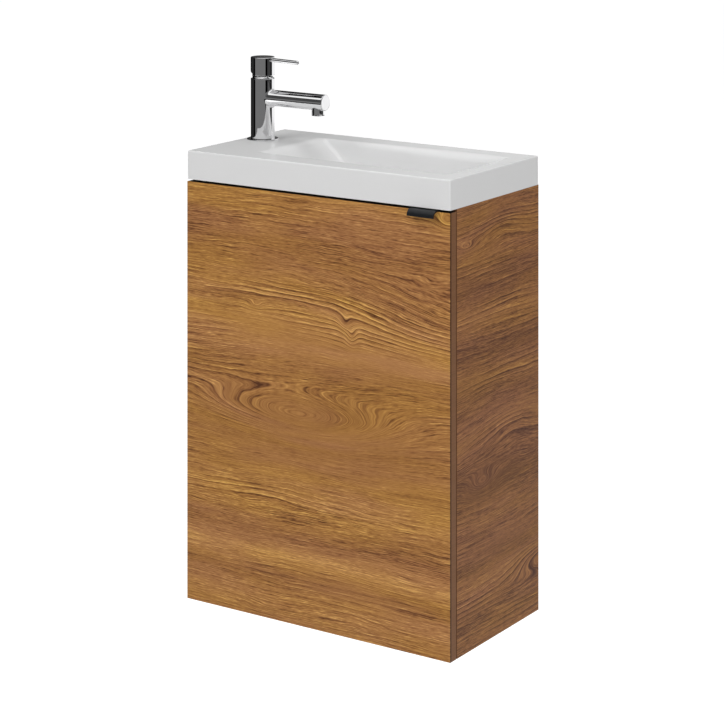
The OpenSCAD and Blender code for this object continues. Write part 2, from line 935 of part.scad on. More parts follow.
module trap_inlet_nut() {
    z0 = collar_z - trap_nut_lip;
    h = tail_z + 14 - z0;
    color("white") translate([waste_x, waste_y, 0]) difference() {
        union() {
            translate([0, 0, z0]) cylinder(r = trap_nut_r, h = h);
            grip_ribs(trap_nut_r, z0, h, 10);
        }
        translate([0, 0, z0 - cut]) cylinder(r = neck_r + loose, h = h + 2 * cut);
        translate([0, 0, collar_z - fit]) cylinder(r = tail_r + fit, h = h);
    }
}

module trap_body() {
    dip_z = chamber_z - 18;
    neck_bore = neck_r - neck_wall;
    color("white") difference() {
        union() {
            translate([waste_x, waste_y, collar_z]) cylinder(r = tail_r - loose, h = collar_t);
            translate([waste_x, waste_y, dip_z]) cylinder(r = neck_r, h = collar_z - dip_z + cut);
            difference() {
                union() {
                    translate([waste_x, waste_y, chamber_z]) cylinder(r = chamber_r, h = trap_h);
                    rod_y([waste_x, waste_y, outlet_z], outlet_r, outlet_y - waste_y);
                }
                translate([waste_x, waste_y, chamber_z - cut])
                    cylinder(r = chamber_r - wall_t, h = trap_h - wall_t + cut);
                rod_y([waste_x, waste_y, outlet_z], pipe_r - pipe_wall, outlet_y - waste_y);
                rod_y([waste_x, pipe_y, outlet_z], pipe_end_r + fit, outlet_y - pipe_y + cut);
            }
        }
        translate([waste_x, waste_y, dip_z - cut])
            cylinder(r = neck_bore, h = collar_z + 2 * collar_t - dip_z);
    }
}

module trap_cup() {
    top_h = 14;
    base_z = chamber_z - washer_t - trap_cup_h;
    color("white") translate([waste_x, waste_y, 0]) difference() {
        union() {
            translate([0, 0, base_z]) cylinder(r = cup_low_r, h = trap_cup_h);
            translate([0, 0, chamber_z - washer_t - collar_t])
                cylinder(r = cup_top_r, h = top_h + washer_t + collar_t);
            grip_ribs(cup_top_r, chamber_z - washer_t - collar_t, top_h + washer_t + collar_t, 12);
        }
        translate([0, 0, base_z + wall_t]) cylinder(r = cup_low_r - wall_t, h = trap_cup_h);
        translate([0, 0, chamber_z - washer_t]) cylinder(r = chamber_r + fit, h = top_h + washer_t + cut);
    }
}

module trap_outlet_nut() {
    color("white") difference() {
        union() {
            rod_y([waste_x, outlet_nut_y, outlet_z], outlet_nut_r, outlet_nut_l);
            translate([waste_x, outlet_nut_y, outlet_z]) rotate([-90, 0, 0])
                grip_ribs(outlet_nut_r, 0, outlet_nut_l, 10);
        }
        rod_y([waste_x, outlet_nut_y - cut, outlet_z], outlet_r + fit,
            outlet_y + washer_t - outlet_nut_y + cut);
        rod_y([waste_x, outlet_nut_y, outlet_z], pipe_end_r + loose, outlet_nut_l + cut);
    }
}

module trap_seals() {
    color("dimgray") {
        ring([waste_x, waste_y, tail_z - washer_t], tail_r - loose, neck_r - neck_wall, washer_t);
        ring([waste_x, waste_y, chamber_z - washer_t], chamber_r - loose, cup_low_r - wall_t, washer_t);
        translate([waste_x, outlet_y, outlet_z]) rotate([-90, 0, 0])
            ring([0, 0, 0], outlet_r - loose, pipe_end_r + fit, washer_t);
    }
}

module waste_pipe() {
    color("white") difference() {
        union() {
            rod_y([waste_x, pipe_y, outlet_z], pipe_end_r, -pipe_y);
            rod_y([waste_x, outlet_nut_y + outlet_nut_l, outlet_z], pipe_r, -outlet_nut_y - outlet_nut_l);
        }
        rod_y([waste_x, pipe_y - cut, outlet_z], pipe_r - pipe_wall, 2 * cut - pipe_y);
    }
}

// Tap, drawn about its own axis

module at_tap() {
    translate([tap_x, tap_y, 0]) children();
}

module tap_base_ring() {
    ring_r = base_d / 2;
    soft = base_t * 0.4;
    color("silver") at_tap() difference() {
        translate([0, 0, unit_h]) rotate_extrude() polygon([
            [base_inner_r, 0], [ring_r, 0], [ring_r, base_t - soft], [ring_r - soft, base_t],
            [base_inner_r, base_t]
        ]);
        ring([0, 0, unit_h - cut], base_seal_out_r + fit, base_seal_r - fit, base_seal_t + cut + fit);
    }
}

module tap_base_seal() {
    color("dimgray") at_tap() ring([0, 0, unit_h], base_seal_out_r, base_seal_r, base_seal_t);
}

module tap_body() {
    side_x = column_r - spigot_l;
    color("silver") at_tap() difference() {
        translate([0, 0, base_z]) cylinder(r = column_r, h = column_z - base_z);
        translate([0, 0, cartridge_z]) cylinder(r = cartridge_r + fit, h = column_z - cartridge_z + cut);
        translate([0, 0, spout_axis]) cylinder(r = water_r, h = cartridge_z - spout_axis + cut);
        rod_x([0, 0, spout_axis], water_r, side_x + cut);
        rod_x([side_x, 0, spout_axis], spigot_r + fit, column_r);
        for (p = inlet_xy) translate(p) {
            translate([0, 0, base_z - cut]) cylinder(r = inlet_d / 2, h = inlet_l + cut);
            translate([0, 0, base_z]) cylinder(r = inlet_feed, h = cartridge_z - base_z + cut);
        }
        translate([stud_x, 0, base_z - cut]) cylinder(r = stud_r + fit, h = stud_bite + cut);
    }
}

module tap_spout() {
    color("silver") at_tap() difference() {
        union() {
            difference() {
                rod_x([0, 0, spout_axis], spout_r, spout_l - end_t);
                translate([0, 0, spout_axis - 2 * spout_r])
                    cylinder(r = column_r + fit, h = 4 * spout_r);
            }
            rod_x([column_r - spigot_l + fit, 0, spout_axis], spigot_r, 2 * spigot_l);
        }
        rod_x([0, 0, spout_axis], spout_bore, spout_l);
        translate([aerator_x, 0, spout_axis - spout_r - cut])
            cylinder(r = aerator_neck_r + fit, h = spout_r + cut);
    }
}

module spout_end_cap() {
    soft = 0.6;
    color("silver") at_tap() translate([spout_l - end_t, 0, spout_axis]) rotate([0, 90, 0])
        rotate_extrude() polygon([
            [0, -2 * end_t], [spout_bore - fit, -2 * end_t], [spout_bore - fit, 0], [spout_r, 0],
            [spout_r, end_t - soft], [spout_r - soft, end_t], [0, end_t]
        ]);
}

module aerator_shell() {
    neck_top = spout_axis - spout_bore;
    color("silver") at_tap() difference() {
        union() {
            difference() {
                translate([aerator_x, 0, aerator_z]) cylinder(r = aerator_r, h = spout_axis - aerator_z);
                rod_x([aerator_x - 2 * aerator_r, 0, spout_axis], spout_r + fit, 4 * aerator_r);
            }
            translate([aerator_x, 0, aerator_z]) cylinder(r = aerator_neck_r, h = neck_top - aerator_z);
        }
        translate([aerator_x, 0, aerator_z - cut]) cylinder(r = aerator_bore, h = spout_axis - aerator_z);
    }
}

module aerator_insert() {
    insert_r = aerator_bore - fit;
    insert_h = 4;
    hole_r = 0.9;
    hole_ring = insert_r * 0.62;
    color("lightgray") at_tap() translate([aerator_x, 0, aerator_z + 1]) difference() {
        cylinder(r = insert_r, h = insert_h);
        for (k = [0 : 5]) rotate([0, 0, 60 * k]) translate([hole_ring, 0, -cut])
            cylinder(r = hole_r, h = insert_h + 2 * cut);
        translate([0, 0, -cut]) cylinder(r = hole_r, h = insert_h + 2 * cut);
    }
}

module tap_cartridge() {
    port_h = 3;
    color("whitesmoke") at_tap() difference() {
        union() {
            translate([0, 0, cartridge_z]) cylinder(r = cartridge_r, h = cartridge_top - cartridge_z);
            translate([0, 0, cartridge_z]) cylinder(r = boss_r, h = boss_top - cartridge_z);
        }
        translate([0, 0, pivot_z]) sphere(r = stem_ball + fit);
        for (p = inlet_xy) translate([p[0], p[1], cartridge_z - cut])
            cylinder(r = inlet_feed, h = port_h + cut);
        translate([0, 0, cartridge_z - cut]) cylinder(r = water_r, h = port_h + cut);
    }
}

module cartridge_nut() {
    thread_h = column_z - cartridge_top + cut;
    color("silver") at_tap() difference() {
        union() {
            translate([0, 0, cartridge_top]) cylinder(r = cartridge_r, h = thread_h);
            intersection() {
                translate([0, 0, pivot_z]) sphere(r = dome_r);
                translate([0, 0, column_z]) cylinder(r = 2 * dome_r, h = 2 * dome_r);
            }
        }
        translate([0, 0, pivot_z]) sphere(r = dome_hollow);
        translate([0, 0, cartridge_top - cut]) cylinder(r = boss_r + 1, h = thread_h);
        translate([0, 0, pivot_z]) cylinder(r = dome_bore, h = 2 * dome_r);
    }
}

module stem_carrier() {
    carrier_h = 5;
    carrier_r = boss_r - 0.4;
    pin_reach = carrier_r - 1;
    color("gold") at_tap() {
        ring([0, 0, boss_top + loose], carrier_r, stem_ball + gap, carrier_h);
        rod_y([0, -pin_reach, pivot_z], stem_pin_r, 2 * pin_reach);
    }
}

module cartridge_stem() {
    color("gold") at_tap() difference() {
        union() {
            translate([0, 0, pivot_z]) sphere(r = stem_ball);
            board([-stem_w / 2, -stem_w / 2, pivot_z], [stem_w / 2, stem_w / 2, stem_top]);
        }
        rod_y([0, -stem_ball - cut, pivot_z], stem_pin_r + fit, 2 * (stem_ball + cut));
    }
}

module tap_head() {
    soft = 0.8;
    socket = stem_w / 2 + fit;
    low = head_z + gap;
    color("silver") at_tap() difference() {
        rotate_extrude() polygon([
            [0, low], [head_r, low], [head_r, head_end - soft], [head_r - soft, head_end], [0, head_end]
        ]);
        translate([0, 0, pivot_z]) sphere(r = head_hollow);
        board([-socket, -socket, pivot_z], [socket, socket, stem_top + fit]);
        translate([0, 0, head_z]) rotate([0, lift_angle + lift_spare, 0])
            translate([-3 * head_r, -2 * head_r, -3 * head_r])
                cube([3 * head_r, 4 * head_r, 3 * head_r]);
        lever_pin(fit, 0);
        rod_x([-head_r - cut, 0, grub_z], grub_r + fit, head_r);
    }
}

module lever_pin(grow, tip) {
    root = stem_w / 2 + 4;
    translate([head_r, 0, lever_z]) rotate([0, 90 + lever_tilt, 0])
        translate([0, 0, root - head_r]) cylinder(r = lever_r + grow, h = lever_l - root - tip);
}

module tap_lever() {
    color("silver") at_tap() {
        lever_pin(0, lever_r / 2);
        translate([head_r, 0, lever_z]) rotate([0, 90 + lever_tilt, 0])
            translate([0, 0, lever_l - head_r - lever_r]) rotate_extrude() intersection() {
                circle(r = lever_r);
                translate([0, -lever_r]) square([lever_r, 2 * lever_r]);
            }
    }
}

module head_grub_screw() {
    key_r = 1;
    key_l = 2;
    sunk = 2;
    color("dimgray") at_tap() difference() {
        rod_x([sunk - head_r, 0, grub_z], grub_r, head_r - sunk - stem_w / 2 - fit);
        translate([sunk - head_r, 0, grub_z]) rotate([0, 90, 0])
            translate([0, 0, -cut]) cylinder(r = key_r, h = key_l + cut, $fn = 6);
    }
}

module tap_stud() {
    color("silver") at_tap() translate([stud_x, 0, base_z + stud_bite - stud_l])
        cylinder(r = stud_r, h = stud_l);
}

module horseshoe(z, h) {
    notch = 12;
    notch_x = -2;
    difference() {
        translate([0, 0, z]) cylinder(r = shoe_r, h = h);
        board([notch_x, -notch, z - cut], [2 * shoe_r, notch, z + h + cut]);
        translate([stud_x, 0, z - cut]) cylinder(r = stud_r + loose, h = h + 2 * cut);
    }
}

module tap_clamp_washers() {
    color("dimgray") at_tap() horseshoe(shoe_seal_z, shoe_seal_t);
    color("silver") at_tap() horseshoe(shoe_z, shoe_t);
}

module tap_stud_nut() {
    color("gold") at_tap() hex_nut([stud_x, 0, shoe_z - stud_nut_h], stud_nut_r, stud_r + fit, stud_nut_h);
}

left_side_panel();
right_side_panel();
bottom_panel();
front_rail();
hanging_rail();
low_back_rail();
wood_dowels();
cam_fittings();
left_hanger_box();
right_hanger_box();
left_hanger_hook();
right_hanger_hook();
left_wall_plate();
right_wall_plate();
hanger_adjusters();
door_panel();
finger_pull();
finger_pull_screws();
door_bumpers();
upper_hinge_plate();
lower_hinge_plate();
upper_hinge_arm();
lower_hinge_arm();
upper_hinge_link();
lower_hinge_link();
upper_hinge_cup();
lower_hinge_cup();
hinge_arm_pins();
hinge_cup_pins();
hinge_plate_screws();
hinge_cup_screws();
basin();
waste_flange();
waste_gaskets();
waste_backnut();
waste_plug();
plug_seal();
trap_inlet_nut();
trap_body();
trap_cup();
trap_outlet_nut();
trap_seals();
waste_pipe();
tap_body();
tap_base_ring();
tap_base_seal();
tap_spout();
spout_end_cap();
aerator_shell();
aerator_insert();
tap_cartridge();
cartridge_nut();
cartridge_stem();
stem_carrier();
tap_head();
tap_lever();
head_grub_screw();
tap_stud();
tap_clamp_washers();
tap_stud_nut();
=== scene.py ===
"""Looks of a wall-hung cloakroom vanity unit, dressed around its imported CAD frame.

Metres throughout, unless a name or a docstring says mm or degrees. +X points right as seen from the
front, +Y into the wall and +Z up.
"""

import logging
import math
from collections.abc import Callable, Sequence
from dataclasses import dataclass, replace
from enum import Enum

import bmesh
import bpy
from mathutils import Matrix, Vector


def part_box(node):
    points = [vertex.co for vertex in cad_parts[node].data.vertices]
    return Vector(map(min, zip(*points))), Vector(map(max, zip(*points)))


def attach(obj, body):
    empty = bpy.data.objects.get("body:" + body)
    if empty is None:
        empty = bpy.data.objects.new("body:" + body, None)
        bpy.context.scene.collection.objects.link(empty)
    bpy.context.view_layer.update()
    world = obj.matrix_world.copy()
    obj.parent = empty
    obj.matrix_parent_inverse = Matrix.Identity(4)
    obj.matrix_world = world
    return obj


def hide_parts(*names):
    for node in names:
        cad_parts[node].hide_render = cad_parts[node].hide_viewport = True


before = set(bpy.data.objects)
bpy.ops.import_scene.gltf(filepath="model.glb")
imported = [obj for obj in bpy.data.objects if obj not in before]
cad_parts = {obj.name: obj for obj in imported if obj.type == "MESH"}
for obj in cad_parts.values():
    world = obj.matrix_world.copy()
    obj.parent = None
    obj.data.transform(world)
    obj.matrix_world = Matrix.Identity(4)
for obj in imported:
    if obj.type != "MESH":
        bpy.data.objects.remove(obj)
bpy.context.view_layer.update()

LOG = logging.getLogger("vanity_unit")
MM = 0.001
PER_M = 1000.0
# Points that are closer than this are one, and edges that turn by more than this stay crisp
TINY = 1e-7
SHARP_DEG = 40.0
# How far a guard point stands off its rounding, as shares of which the smaller one counts
GUARD_OF_RUN = 0.4
GUARD_OF_RADIUS = 0.2

Triple = tuple[float, float, float]
Colour = Triple
Loop = list[Vector]
Reach = Callable[[float, Vector], float]


def linear(red: int, green: int, blue: int) -> Colour:
    """Turns a screen colour into linear light.

    Args:
        red: Red from 0 to 255.
        green: Green from 0 to 255.
        blue: Blue from 0 to 255.

    Returns:
        The three linear values.
    """
    def one(value: int) -> float:
        """Turns one channel into linear light by the usual screen curve."""
        share = value / 255
        return share / 12.92 if share <= 0.04045 else ((share + 0.055) / 1.055) ** 2.4

    return one(red), one(green), one(blue)


def shaded(colour: Colour, share: float) -> Colour:
    """Makes a colour darker or lighter by a share of itself."""
    return tuple(share * value for value in colour)


def raised(point: Vector, height: float) -> Vector:
    """Puts a point at another height."""
    return Vector((*point.xy, height))


def middle(node: str) -> Vector:
    """Gives the middle of a CAD node's box."""
    low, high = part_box(node)
    return (low + high) / 2


def link(name: str, data: bpy.types.ID | None) -> bpy.types.Object:
    """Makes an object and links it to the scene.

    Args:
        name: Name of the object.
        data: Its mesh, lamp or camera, or None for an empty one.

    Returns:
        The new object.
    """
    made = bpy.data.objects.new(name, data)
    bpy.context.scene.collection.objects.link(made)
    return made


# Mesh tools


def crisp(mesh: bpy.types.Mesh, sharp_deg: float = SHARP_DEG) -> None:
    """Shades a mesh smooth, but keeps its sharper edges crisp.

    Args:
        mesh: The mesh.
        sharp_deg: Edges that turn by more than this stay crisp.
    """
    mesh.shade_smooth()
    mesh.set_sharp_from_angle(angle=math.radians(sharp_deg))


def mesh_object(name: str, points: Sequence[Vector], faces: Sequence[Sequence[int]],
                sharp_deg: float = SHARP_DEG) -> bpy.types.Object:
    """Makes a smooth-shaded mesh object whose sharper edges stay crisp.

    Args:
        name: Name of the piece.
        points: Corner points.
        faces: Faces as lists of point numbers.
        sharp_deg: Edges that turn by more than this stay crisp.

    Returns:
        The new object, linked to the scene.
    """
    mesh = bpy.data.meshes.new(name)
    mesh.from_pydata([tuple(p) for p in points], [], [tuple(f) for f in faces])
    form = bmesh.new()
    form.from_mesh(mesh)
    bmesh.ops.remove_doubles(form, verts=form.verts, dist=TINY)
    bmesh.ops.recalc_face_normals(form, faces=form.faces)
    form.to_mesh(mesh)
    form.free()
    crisp(mesh, sharp_deg)
    return link(name, mesh)


def soften(corners: Sequence[Vector], radii: Sequence[float], steps: int) -> Loop:
    """Rounds the corners of a closed line, and adds a guard point on each side of a rounding.

    Args:
        corners: The sharp corners.
        radii: Radius at each corner, where 0 keeps it sharp.
        steps: Parts in each rounding.

    Returns:
        The points of the softened line.
    """
    made: Loop = []
    for k, (here, radius) in enumerate(zip(corners, radii)):
        if radius <= 0:
            made.append(here.copy())
            continue
        back = (corners[k - 1] - here).normalized()
        ahead = (corners[(k + 1) % len(corners)] - here).normalized()
        half = back.angle(ahead) / 2
        run = radius / math.tan(half)
        centre = here + (back + ahead).normalized() * (radius / math.sin(half))
        start, end = here + back * run, here + ahead * run
        guard = min(run * GUARD_OF_RUN, radius * GUARD_OF_RADIUS)
        made.append(start + back * guard)
        first, final = start - centre, end - centre
        turn = first.angle(final)
        for step in range(steps + 1):
            share = step / steps
            made.append(centre + (first * math.sin((1 - share) * turn)
                                  + final * math.sin(share * turn)) / math.sin(turn))
        made.append(end + ahead * guard)
    return made


def loft(name: str, loops: Sequence[Loop], closed: bool, sharp_deg: float = SHARP_DEG) -> bpy.types.Object:
    """Joins loops of equal length into a skin.

    Args:
        name: Name of the piece.
        loops: Loops of points, each with the same count.
        closed: True if the last loop joins the first, else the two end loops are capped.
        sharp_deg: Edges that turn by more than this stay crisp.

    Returns:
        The new object.
    """
    count = len(loops[0])
    points = [p for one in loops for p in one]
    faces: list[list[int]] = []
    for k in range(len(loops) if closed else len(loops) - 1):
        low, high = k * count, ((k + 1) % len(loops)) * count
        for i in range(count):
            j = (i + 1) % count
            faces.append([low + i, low + j, high + j, high + i])
    if not closed:
        faces.append(list(range(count))[::-1])
        faces.append([(len(loops) - 1) * count + i for i in range(count)])
    return mesh_object(name, points, faces, sharp_deg)


def lathe(name: str, profile: Sequence[Vector], place: Matrix, steps: int = 96,
          reach: Reach | None = None) -> bpy.types.Object:
    """Turns a closed profile round an axis.

    Args:
        name: Name of the piece.
        profile: Points whose x is the radius and z the height, in order round the profile.
        place: Puts the turned form, which stands on Z, where it belongs.
        steps: Parts round the axis.
        reach: Gives the share of the radius kept at an angle and profile point, for flutes.

    Returns:
        The new object.
    """
    points: Loop = []
    rings: list[list[int]] = []
    for at in profile:
        if at.x < TINY:
            rings.append([len(points)] * steps)
            points.append(place @ Vector((0, 0, at.z)))
            continue
        rings.append(list(range(len(points), len(points) + steps)))
        for k in range(steps):
            angle = 2 * math.pi * k / steps
            radius = at.x * (reach(angle, at) if reach else 1.0)
            points.append(place @ Vector((radius * math.cos(angle), radius * math.sin(angle), at.z)))
    faces: list[list[int]] = []
    for low, high in zip(rings, rings[1:] + rings[:1]):
        for i in range(steps):
            j = (i + 1) % steps
            corners = list(dict.fromkeys([low[i], low[j], high[j], high[i]]))
            if len(corners) > 2:
                faces.append(corners)
    return mesh_object(name, points, faces)


def cut_away(piece: bpy.types.Object, cutter: bpy.types.Object) -> None:
    """Takes a cutter's space out of a piece for good, and removes the cutter.

    Args:
        piece: The piece that is cut.
        cutter: A closed form, used up by the cut.
    """
    change = piece.modifiers.new("cut", "BOOLEAN")
    change.operation = "DIFFERENCE"
    change.solver = "EXACT"
    change.object = cutter
    graph = bpy.context.evaluated_depsgraph_get()
    cut = bpy.data.meshes.new_from_object(piece.evaluated_get(graph))
    piece.modifiers.clear()
    piece.data = cut
    crisp(cut)
    bpy.data.objects.remove(cutter)


def radial(*pairs: tuple[float, float]) -> Loop:
    """Turns (radius, height) pairs into profile points."""
    return [Vector((radius, 0, height)) for radius, height in pairs]


def stand(body: str, piece: bpy.types.Object, slot: str, material: bpy.types.Material,
          *nodes: str) -> str:
    """Dresses a new piece and lets it stand for CAD nodes.

    Args:
        body: CAD body that the piece rides on.
        piece: The new piece.
        slot: Name of a material slot; not used.
        material: Its finish.
        *nodes: CAD nodes that it stands for.

    Returns:
        The piece's name.
    """
    piece.data.materials.clear()
    piece.data.materials.append(material)
    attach(piece, body)
    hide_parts(*nodes)
    return piece.name


def dress(material: bpy.types.Material, *nodes: str) -> None:
    """Gives CAD nodes a finish.

    Args:
        material: The finish.
        *nodes: Names of the CAD nodes.
    """
    for node in nodes:
        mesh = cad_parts[node].data
        mesh.materials.clear()
        mesh.materials.append(material)


# Material tools


Source = bpy.types.NodeSocket | float | Sequence[float]
Stops = Sequence[tuple[float, float | Colour]]


class Graph:
    """The nodes of one material or world, added and joined by short calls."""

    def __init__(self, owner: bpy.types.Material | bpy.types.World) -> None:
        """Starts without nodes.

        Args:
            owner: The material or world that the nodes are for.
        """
        owner.use_nodes = True
        self.owner = owner
        self.tree = owner.node_tree
        self.tree.nodes.clear()

    def node(self, kind: str, inputs: dict[str | int, Source] | None = None,
             **settings: object) -> bpy.types.Node:
        """Adds a node.

        Args:
            kind: Blender's name for the kind of node.
            inputs: What goes into its sockets, by name or number.
            **settings: Settings of the node itself.

        Returns:
            The node.
        """
        made = self.tree.nodes.new(kind)
        for key, value in settings.items():
            setattr(made, key, value)
        for key, value in (inputs or {}).items():
            self.feed(made.inputs[key], value)
        return made

    def feed(self, socket: bpy.types.NodeSocket, value: Source) -> None:
        """Joins a socket to an output, or sets its number or colour.

        Args:
            socket: The input socket.
            value: An output, a number, or the numbers of a vector or colour.
        """
        if isinstance(value, bpy.types.NodeSocket):
            self.tree.links.new(value, socket)
        elif isinstance(value, (int, float)):
            socket.default_value = value
        else:
            length = len(socket.default_value)
            socket.default_value = (*value, 1.0)[:length]

    def math(self, operation: str, *values: Source, clamp: bool = False) -> bpy.types.NodeSocket:
        """Adds a Math node.

        Args:
            operation: Blender's name for the sum.
            *values: One to three numbers or outputs.
            clamp: True to keep the result from 0 to 1.

        Returns:
            Its output.
        """
        inputs = dict(enumerate(values))
        return self.node("ShaderNodeMath", inputs, operation=operation, use_clamp=clamp).outputs[0]

    def noise(self, place: Source, scale: float = 1.0, detail: float = 2.0,
              rough: float = 0.5) -> bpy.types.NodeSocket:
        """Adds smooth noise from 0 to 1.

        Args:
            place: Where in the noise.
            scale: Lumps for each unit of the place.
            detail: Finer octaves in it.
            rough: Strength of the finer octaves.

        Returns:
            Its number.
        """
        made = self.node("ShaderNodeTexNoise", {"Vector": place, "Scale": scale, "Detail": detail,
                                                "Roughness": rough})
        return made.outputs["Fac"]

    def vector(self, x: Source, y: Source, z: Source) -> bpy.types.NodeSocket:
        """Joins three numbers into a vector."""
        return self.node("ShaderNodeCombineXYZ", {0: x, 1: y, 2: z}).outputs[0]

    def split(self, vector: Source) -> list[bpy.types.NodeSocket]:
        """Splits a vector into its three numbers."""
        return list(self.node("ShaderNodeSeparateXYZ", {0: vector}).outputs)

    def times(self, first: Source, second: Source) -> bpy.types.NodeSocket:
        """Multiplies two vectors or colours, number by number."""
        return self.node("ShaderNodeVectorMath", {0: first, 1: second}, operation="MULTIPLY").outputs[0]

    def ramp(self, share: Source, stops: Stops) -> bpy.types.NodeSocket:
        """Adds a colour ramp.

        Args:
            share: Where on the ramp, from 0 to 1.
            stops: Places, each with a grey or a colour.

        Returns:
            Its colour output.
        """
        made = self.node("ShaderNodeValToRGB", {"Fac": share})
        elements = made.color_ramp.elements
        while len(elements) < len(stops):
            elements.new(0.5)
        for element, (place, tone) in zip(elements, stops):
            element.position = place
            element.color = (tone, tone, tone, 1) if isinstance(tone, float) else (*tone, 1)
        return made.outputs["Color"]

    def mix(self, share: Source, first: Source, second: Source) -> bpy.types.NodeSocket:
        """Mixes two colours.

        Args:
            share: Share of the second colour, from 0 to 1.
            first: The first colour.
            second: The second colour.

        Returns:
            The mixed colour.
        """
        made = self.node("ShaderNodeMix", data_type="RGBA")
        sockets = [s for s in made.inputs if s.enabled]
        for socket, value in zip(sockets, (share, first, second)):
            self.feed(socket, value)
        return next(s for s in made.outputs if s.enabled)

    def varied(self, share: Source, tint: Colour, contrast: float) -> bpy.types.NodeSocket:
        """Varies a colour by a contrast either way."""
        return self.mix(share, shaded(tint, 1 - contrast), shaded(tint, 1 + contrast))

    def place_mm(self) -> tuple[bpy.types.NodeSocket, bpy.types.NodeSocket]:
        """Adds the place on the piece.

        Returns:
            The place in millimetres, and the piece's own normal.
        """
        where = self.node("ShaderNodeTexCoord")
        scaled = self.node("ShaderNodeVectorMath", {0: where.outputs["Object"], "Scale": PER_M},
                           operation="SCALE")
        return scaled.outputs[0], where.outputs["Normal"]

    def bump(self, height: Source, depth: float, strength: float) -> bpy.types.NodeSocket:
        """Adds relief.

        Args:
            height: Height from 0 to 1.
            depth: What a height of 1 stands for, in metres.
            strength: Share of the relief that shows.

        Returns:
            The bent normal.
        """
        made = self.node("ShaderNodeBump", {"Height": height, "Distance": depth, "Strength": strength})
        return made.outputs["Normal"]

    def surface(self, **inputs: Source) -> bpy.types.Material:
        """Ends the material in a Principled shader.

        Args:
            **inputs: Its sockets, with underscores for the spaces.

        Returns:
            The finished material.
        """
        named = {key.replace("_", " "): value for key, value in inputs.items()}
        return self.close(self.node("ShaderNodeBsdfPrincipled", named))

    def close(self, shader: bpy.types.Node) -> bpy.types.Material | bpy.types.World:
        """Joins the last shader to the output.

        Args:
            shader: The node whose first output is the surface, or the world's light.

        Returns:
            The finished material or world.
        """
        whole_world = isinstance(self.owner, bpy.types.World)
        end = self.node("ShaderNodeOutputWorld" if whole_world else "ShaderNodeOutputMaterial")
        self.tree.links.new(shader.outputs[0], end.inputs[0])
        return self.owner


# Finishes


class Grain(Enum):
    """Which way a board's face looks: its axes along and across the grain and out of the face."""

    FRONT = ("x", "z", "y")
    SIDE = ("y", "z", "x")
    FLAT = ("x", "y", "z")


@dataclass(frozen=True)
class Swell:
    """A place where the veneer's drawing changes softly.

    Attributes:
        along: Middle of it along the grain, in mm.
        across: Middle of it across the grain, in mm.
        half_along: How far it spreads along the grain, in mm.
        half_across: How far it spreads across the grain, in mm.
        rise: Its strength: mm of bow for the figure, or a share for the lines and the calm.
    """

    along: float
    across: float
    half_along: float
    half_across: float
    rise: float


@dataclass(frozen=True)
class Layer:
    """A layer of noise that is stretched along the grain.

    Attributes:
        long: Length of its marks along the grain, in mm.
        wide: Width of its marks across the grain, in mm.
        offset: Moves it, so that no two layers are alike.
        detail: Finer octaves in it.
        rough: Strength of the finer octaves.
        strength: How far it moves what it is laid on.
    """

    long: float
    wide: float
    offset: float
    detail: float = 1.0
    rough: float = 0.5
    strength: float = 1.0


# The wood's layers: slow bows of its lines in mm, then what moves its tone, from broad to fine
SWAYS = (Layer(330, 70, 1.3, strength=11.0), Layer(95, 22, 5.1, 2.0, strength=2.6),
         Layer(30, 13, 7.7, strength=1.2))
MOTTLE = Layer(150, 16, 9.2, 3.0, 0.55, 0.22)
STREAK = Layer(75, 3.6, 11.8, 3.0, 0.55, 0.16)
WARP = Layer(400, 30, 21.5, strength=3.0)
PATCHES = Layer(190, 26, 15.4, 2.0)
HAIRS = Layer(85, 2.0, 27.0, 3.0, 0.62, 0.42)
PORE_PLACES = Layer(110, 26, 51.0, 2.0, strength=0.4)
FLECK = Layer(9, 0.85, 37.0, strength=0.8)
FIBRE = Layer(55, 0.9, 31.0)
PORES = Layer(26, 0.8, 43.0, strength=-0.3)
GLINTS = Layer(30, 0.9, 71.0, strength=0.34)
DRIFT = Layer(240, 40, 83.0, 2.0)
STRIP = Layer(30, 1.2, 61.0, 2.0, strength=0.22)

# The growth lines: their distance in mm, and their tone across one of them
LINE_SPACING = 7.6
DARK_LINE = ((0.0, 1.0), (0.05, 0.3), (0.12, 0.0), (0.62, 0.0), (0.88, 0.55), (1.0, 1.0))
DARK_LINE_STRENGTH = 0.56
BRIGHT_LINE = ((0.05, 0.0), (0.16, 1.0), (0.3, 0.35), (0.5, 0.0))
BRIGHT_LINE_STRENGTH = 0.34

# What the layers' noise becomes
CLEAR_OF_PATCHES = ((0.46, 0.05), (0.68, 0.55))
FIBRE_OF_PLACES = ((0.38, 0.75), (0.62, 1.3))
PORE_CUT = ((0.76, 0.0), (0.92, 1.0))
GLINT_CUT = ((0.6, 0.0), (0.76, 1.0))
DRIFT_CUT = ((0.35, 0.0), (0.65, 1.0))
COOL_DRIFT = (0.985, 0.96, 1.2)
WARM_DRIFT = (1.015, 1.025, 0.91)
CALMEST = 0.2
COLOUR_PLACES = (0.0, 0.27, 0.5, 0.73, 1.0)


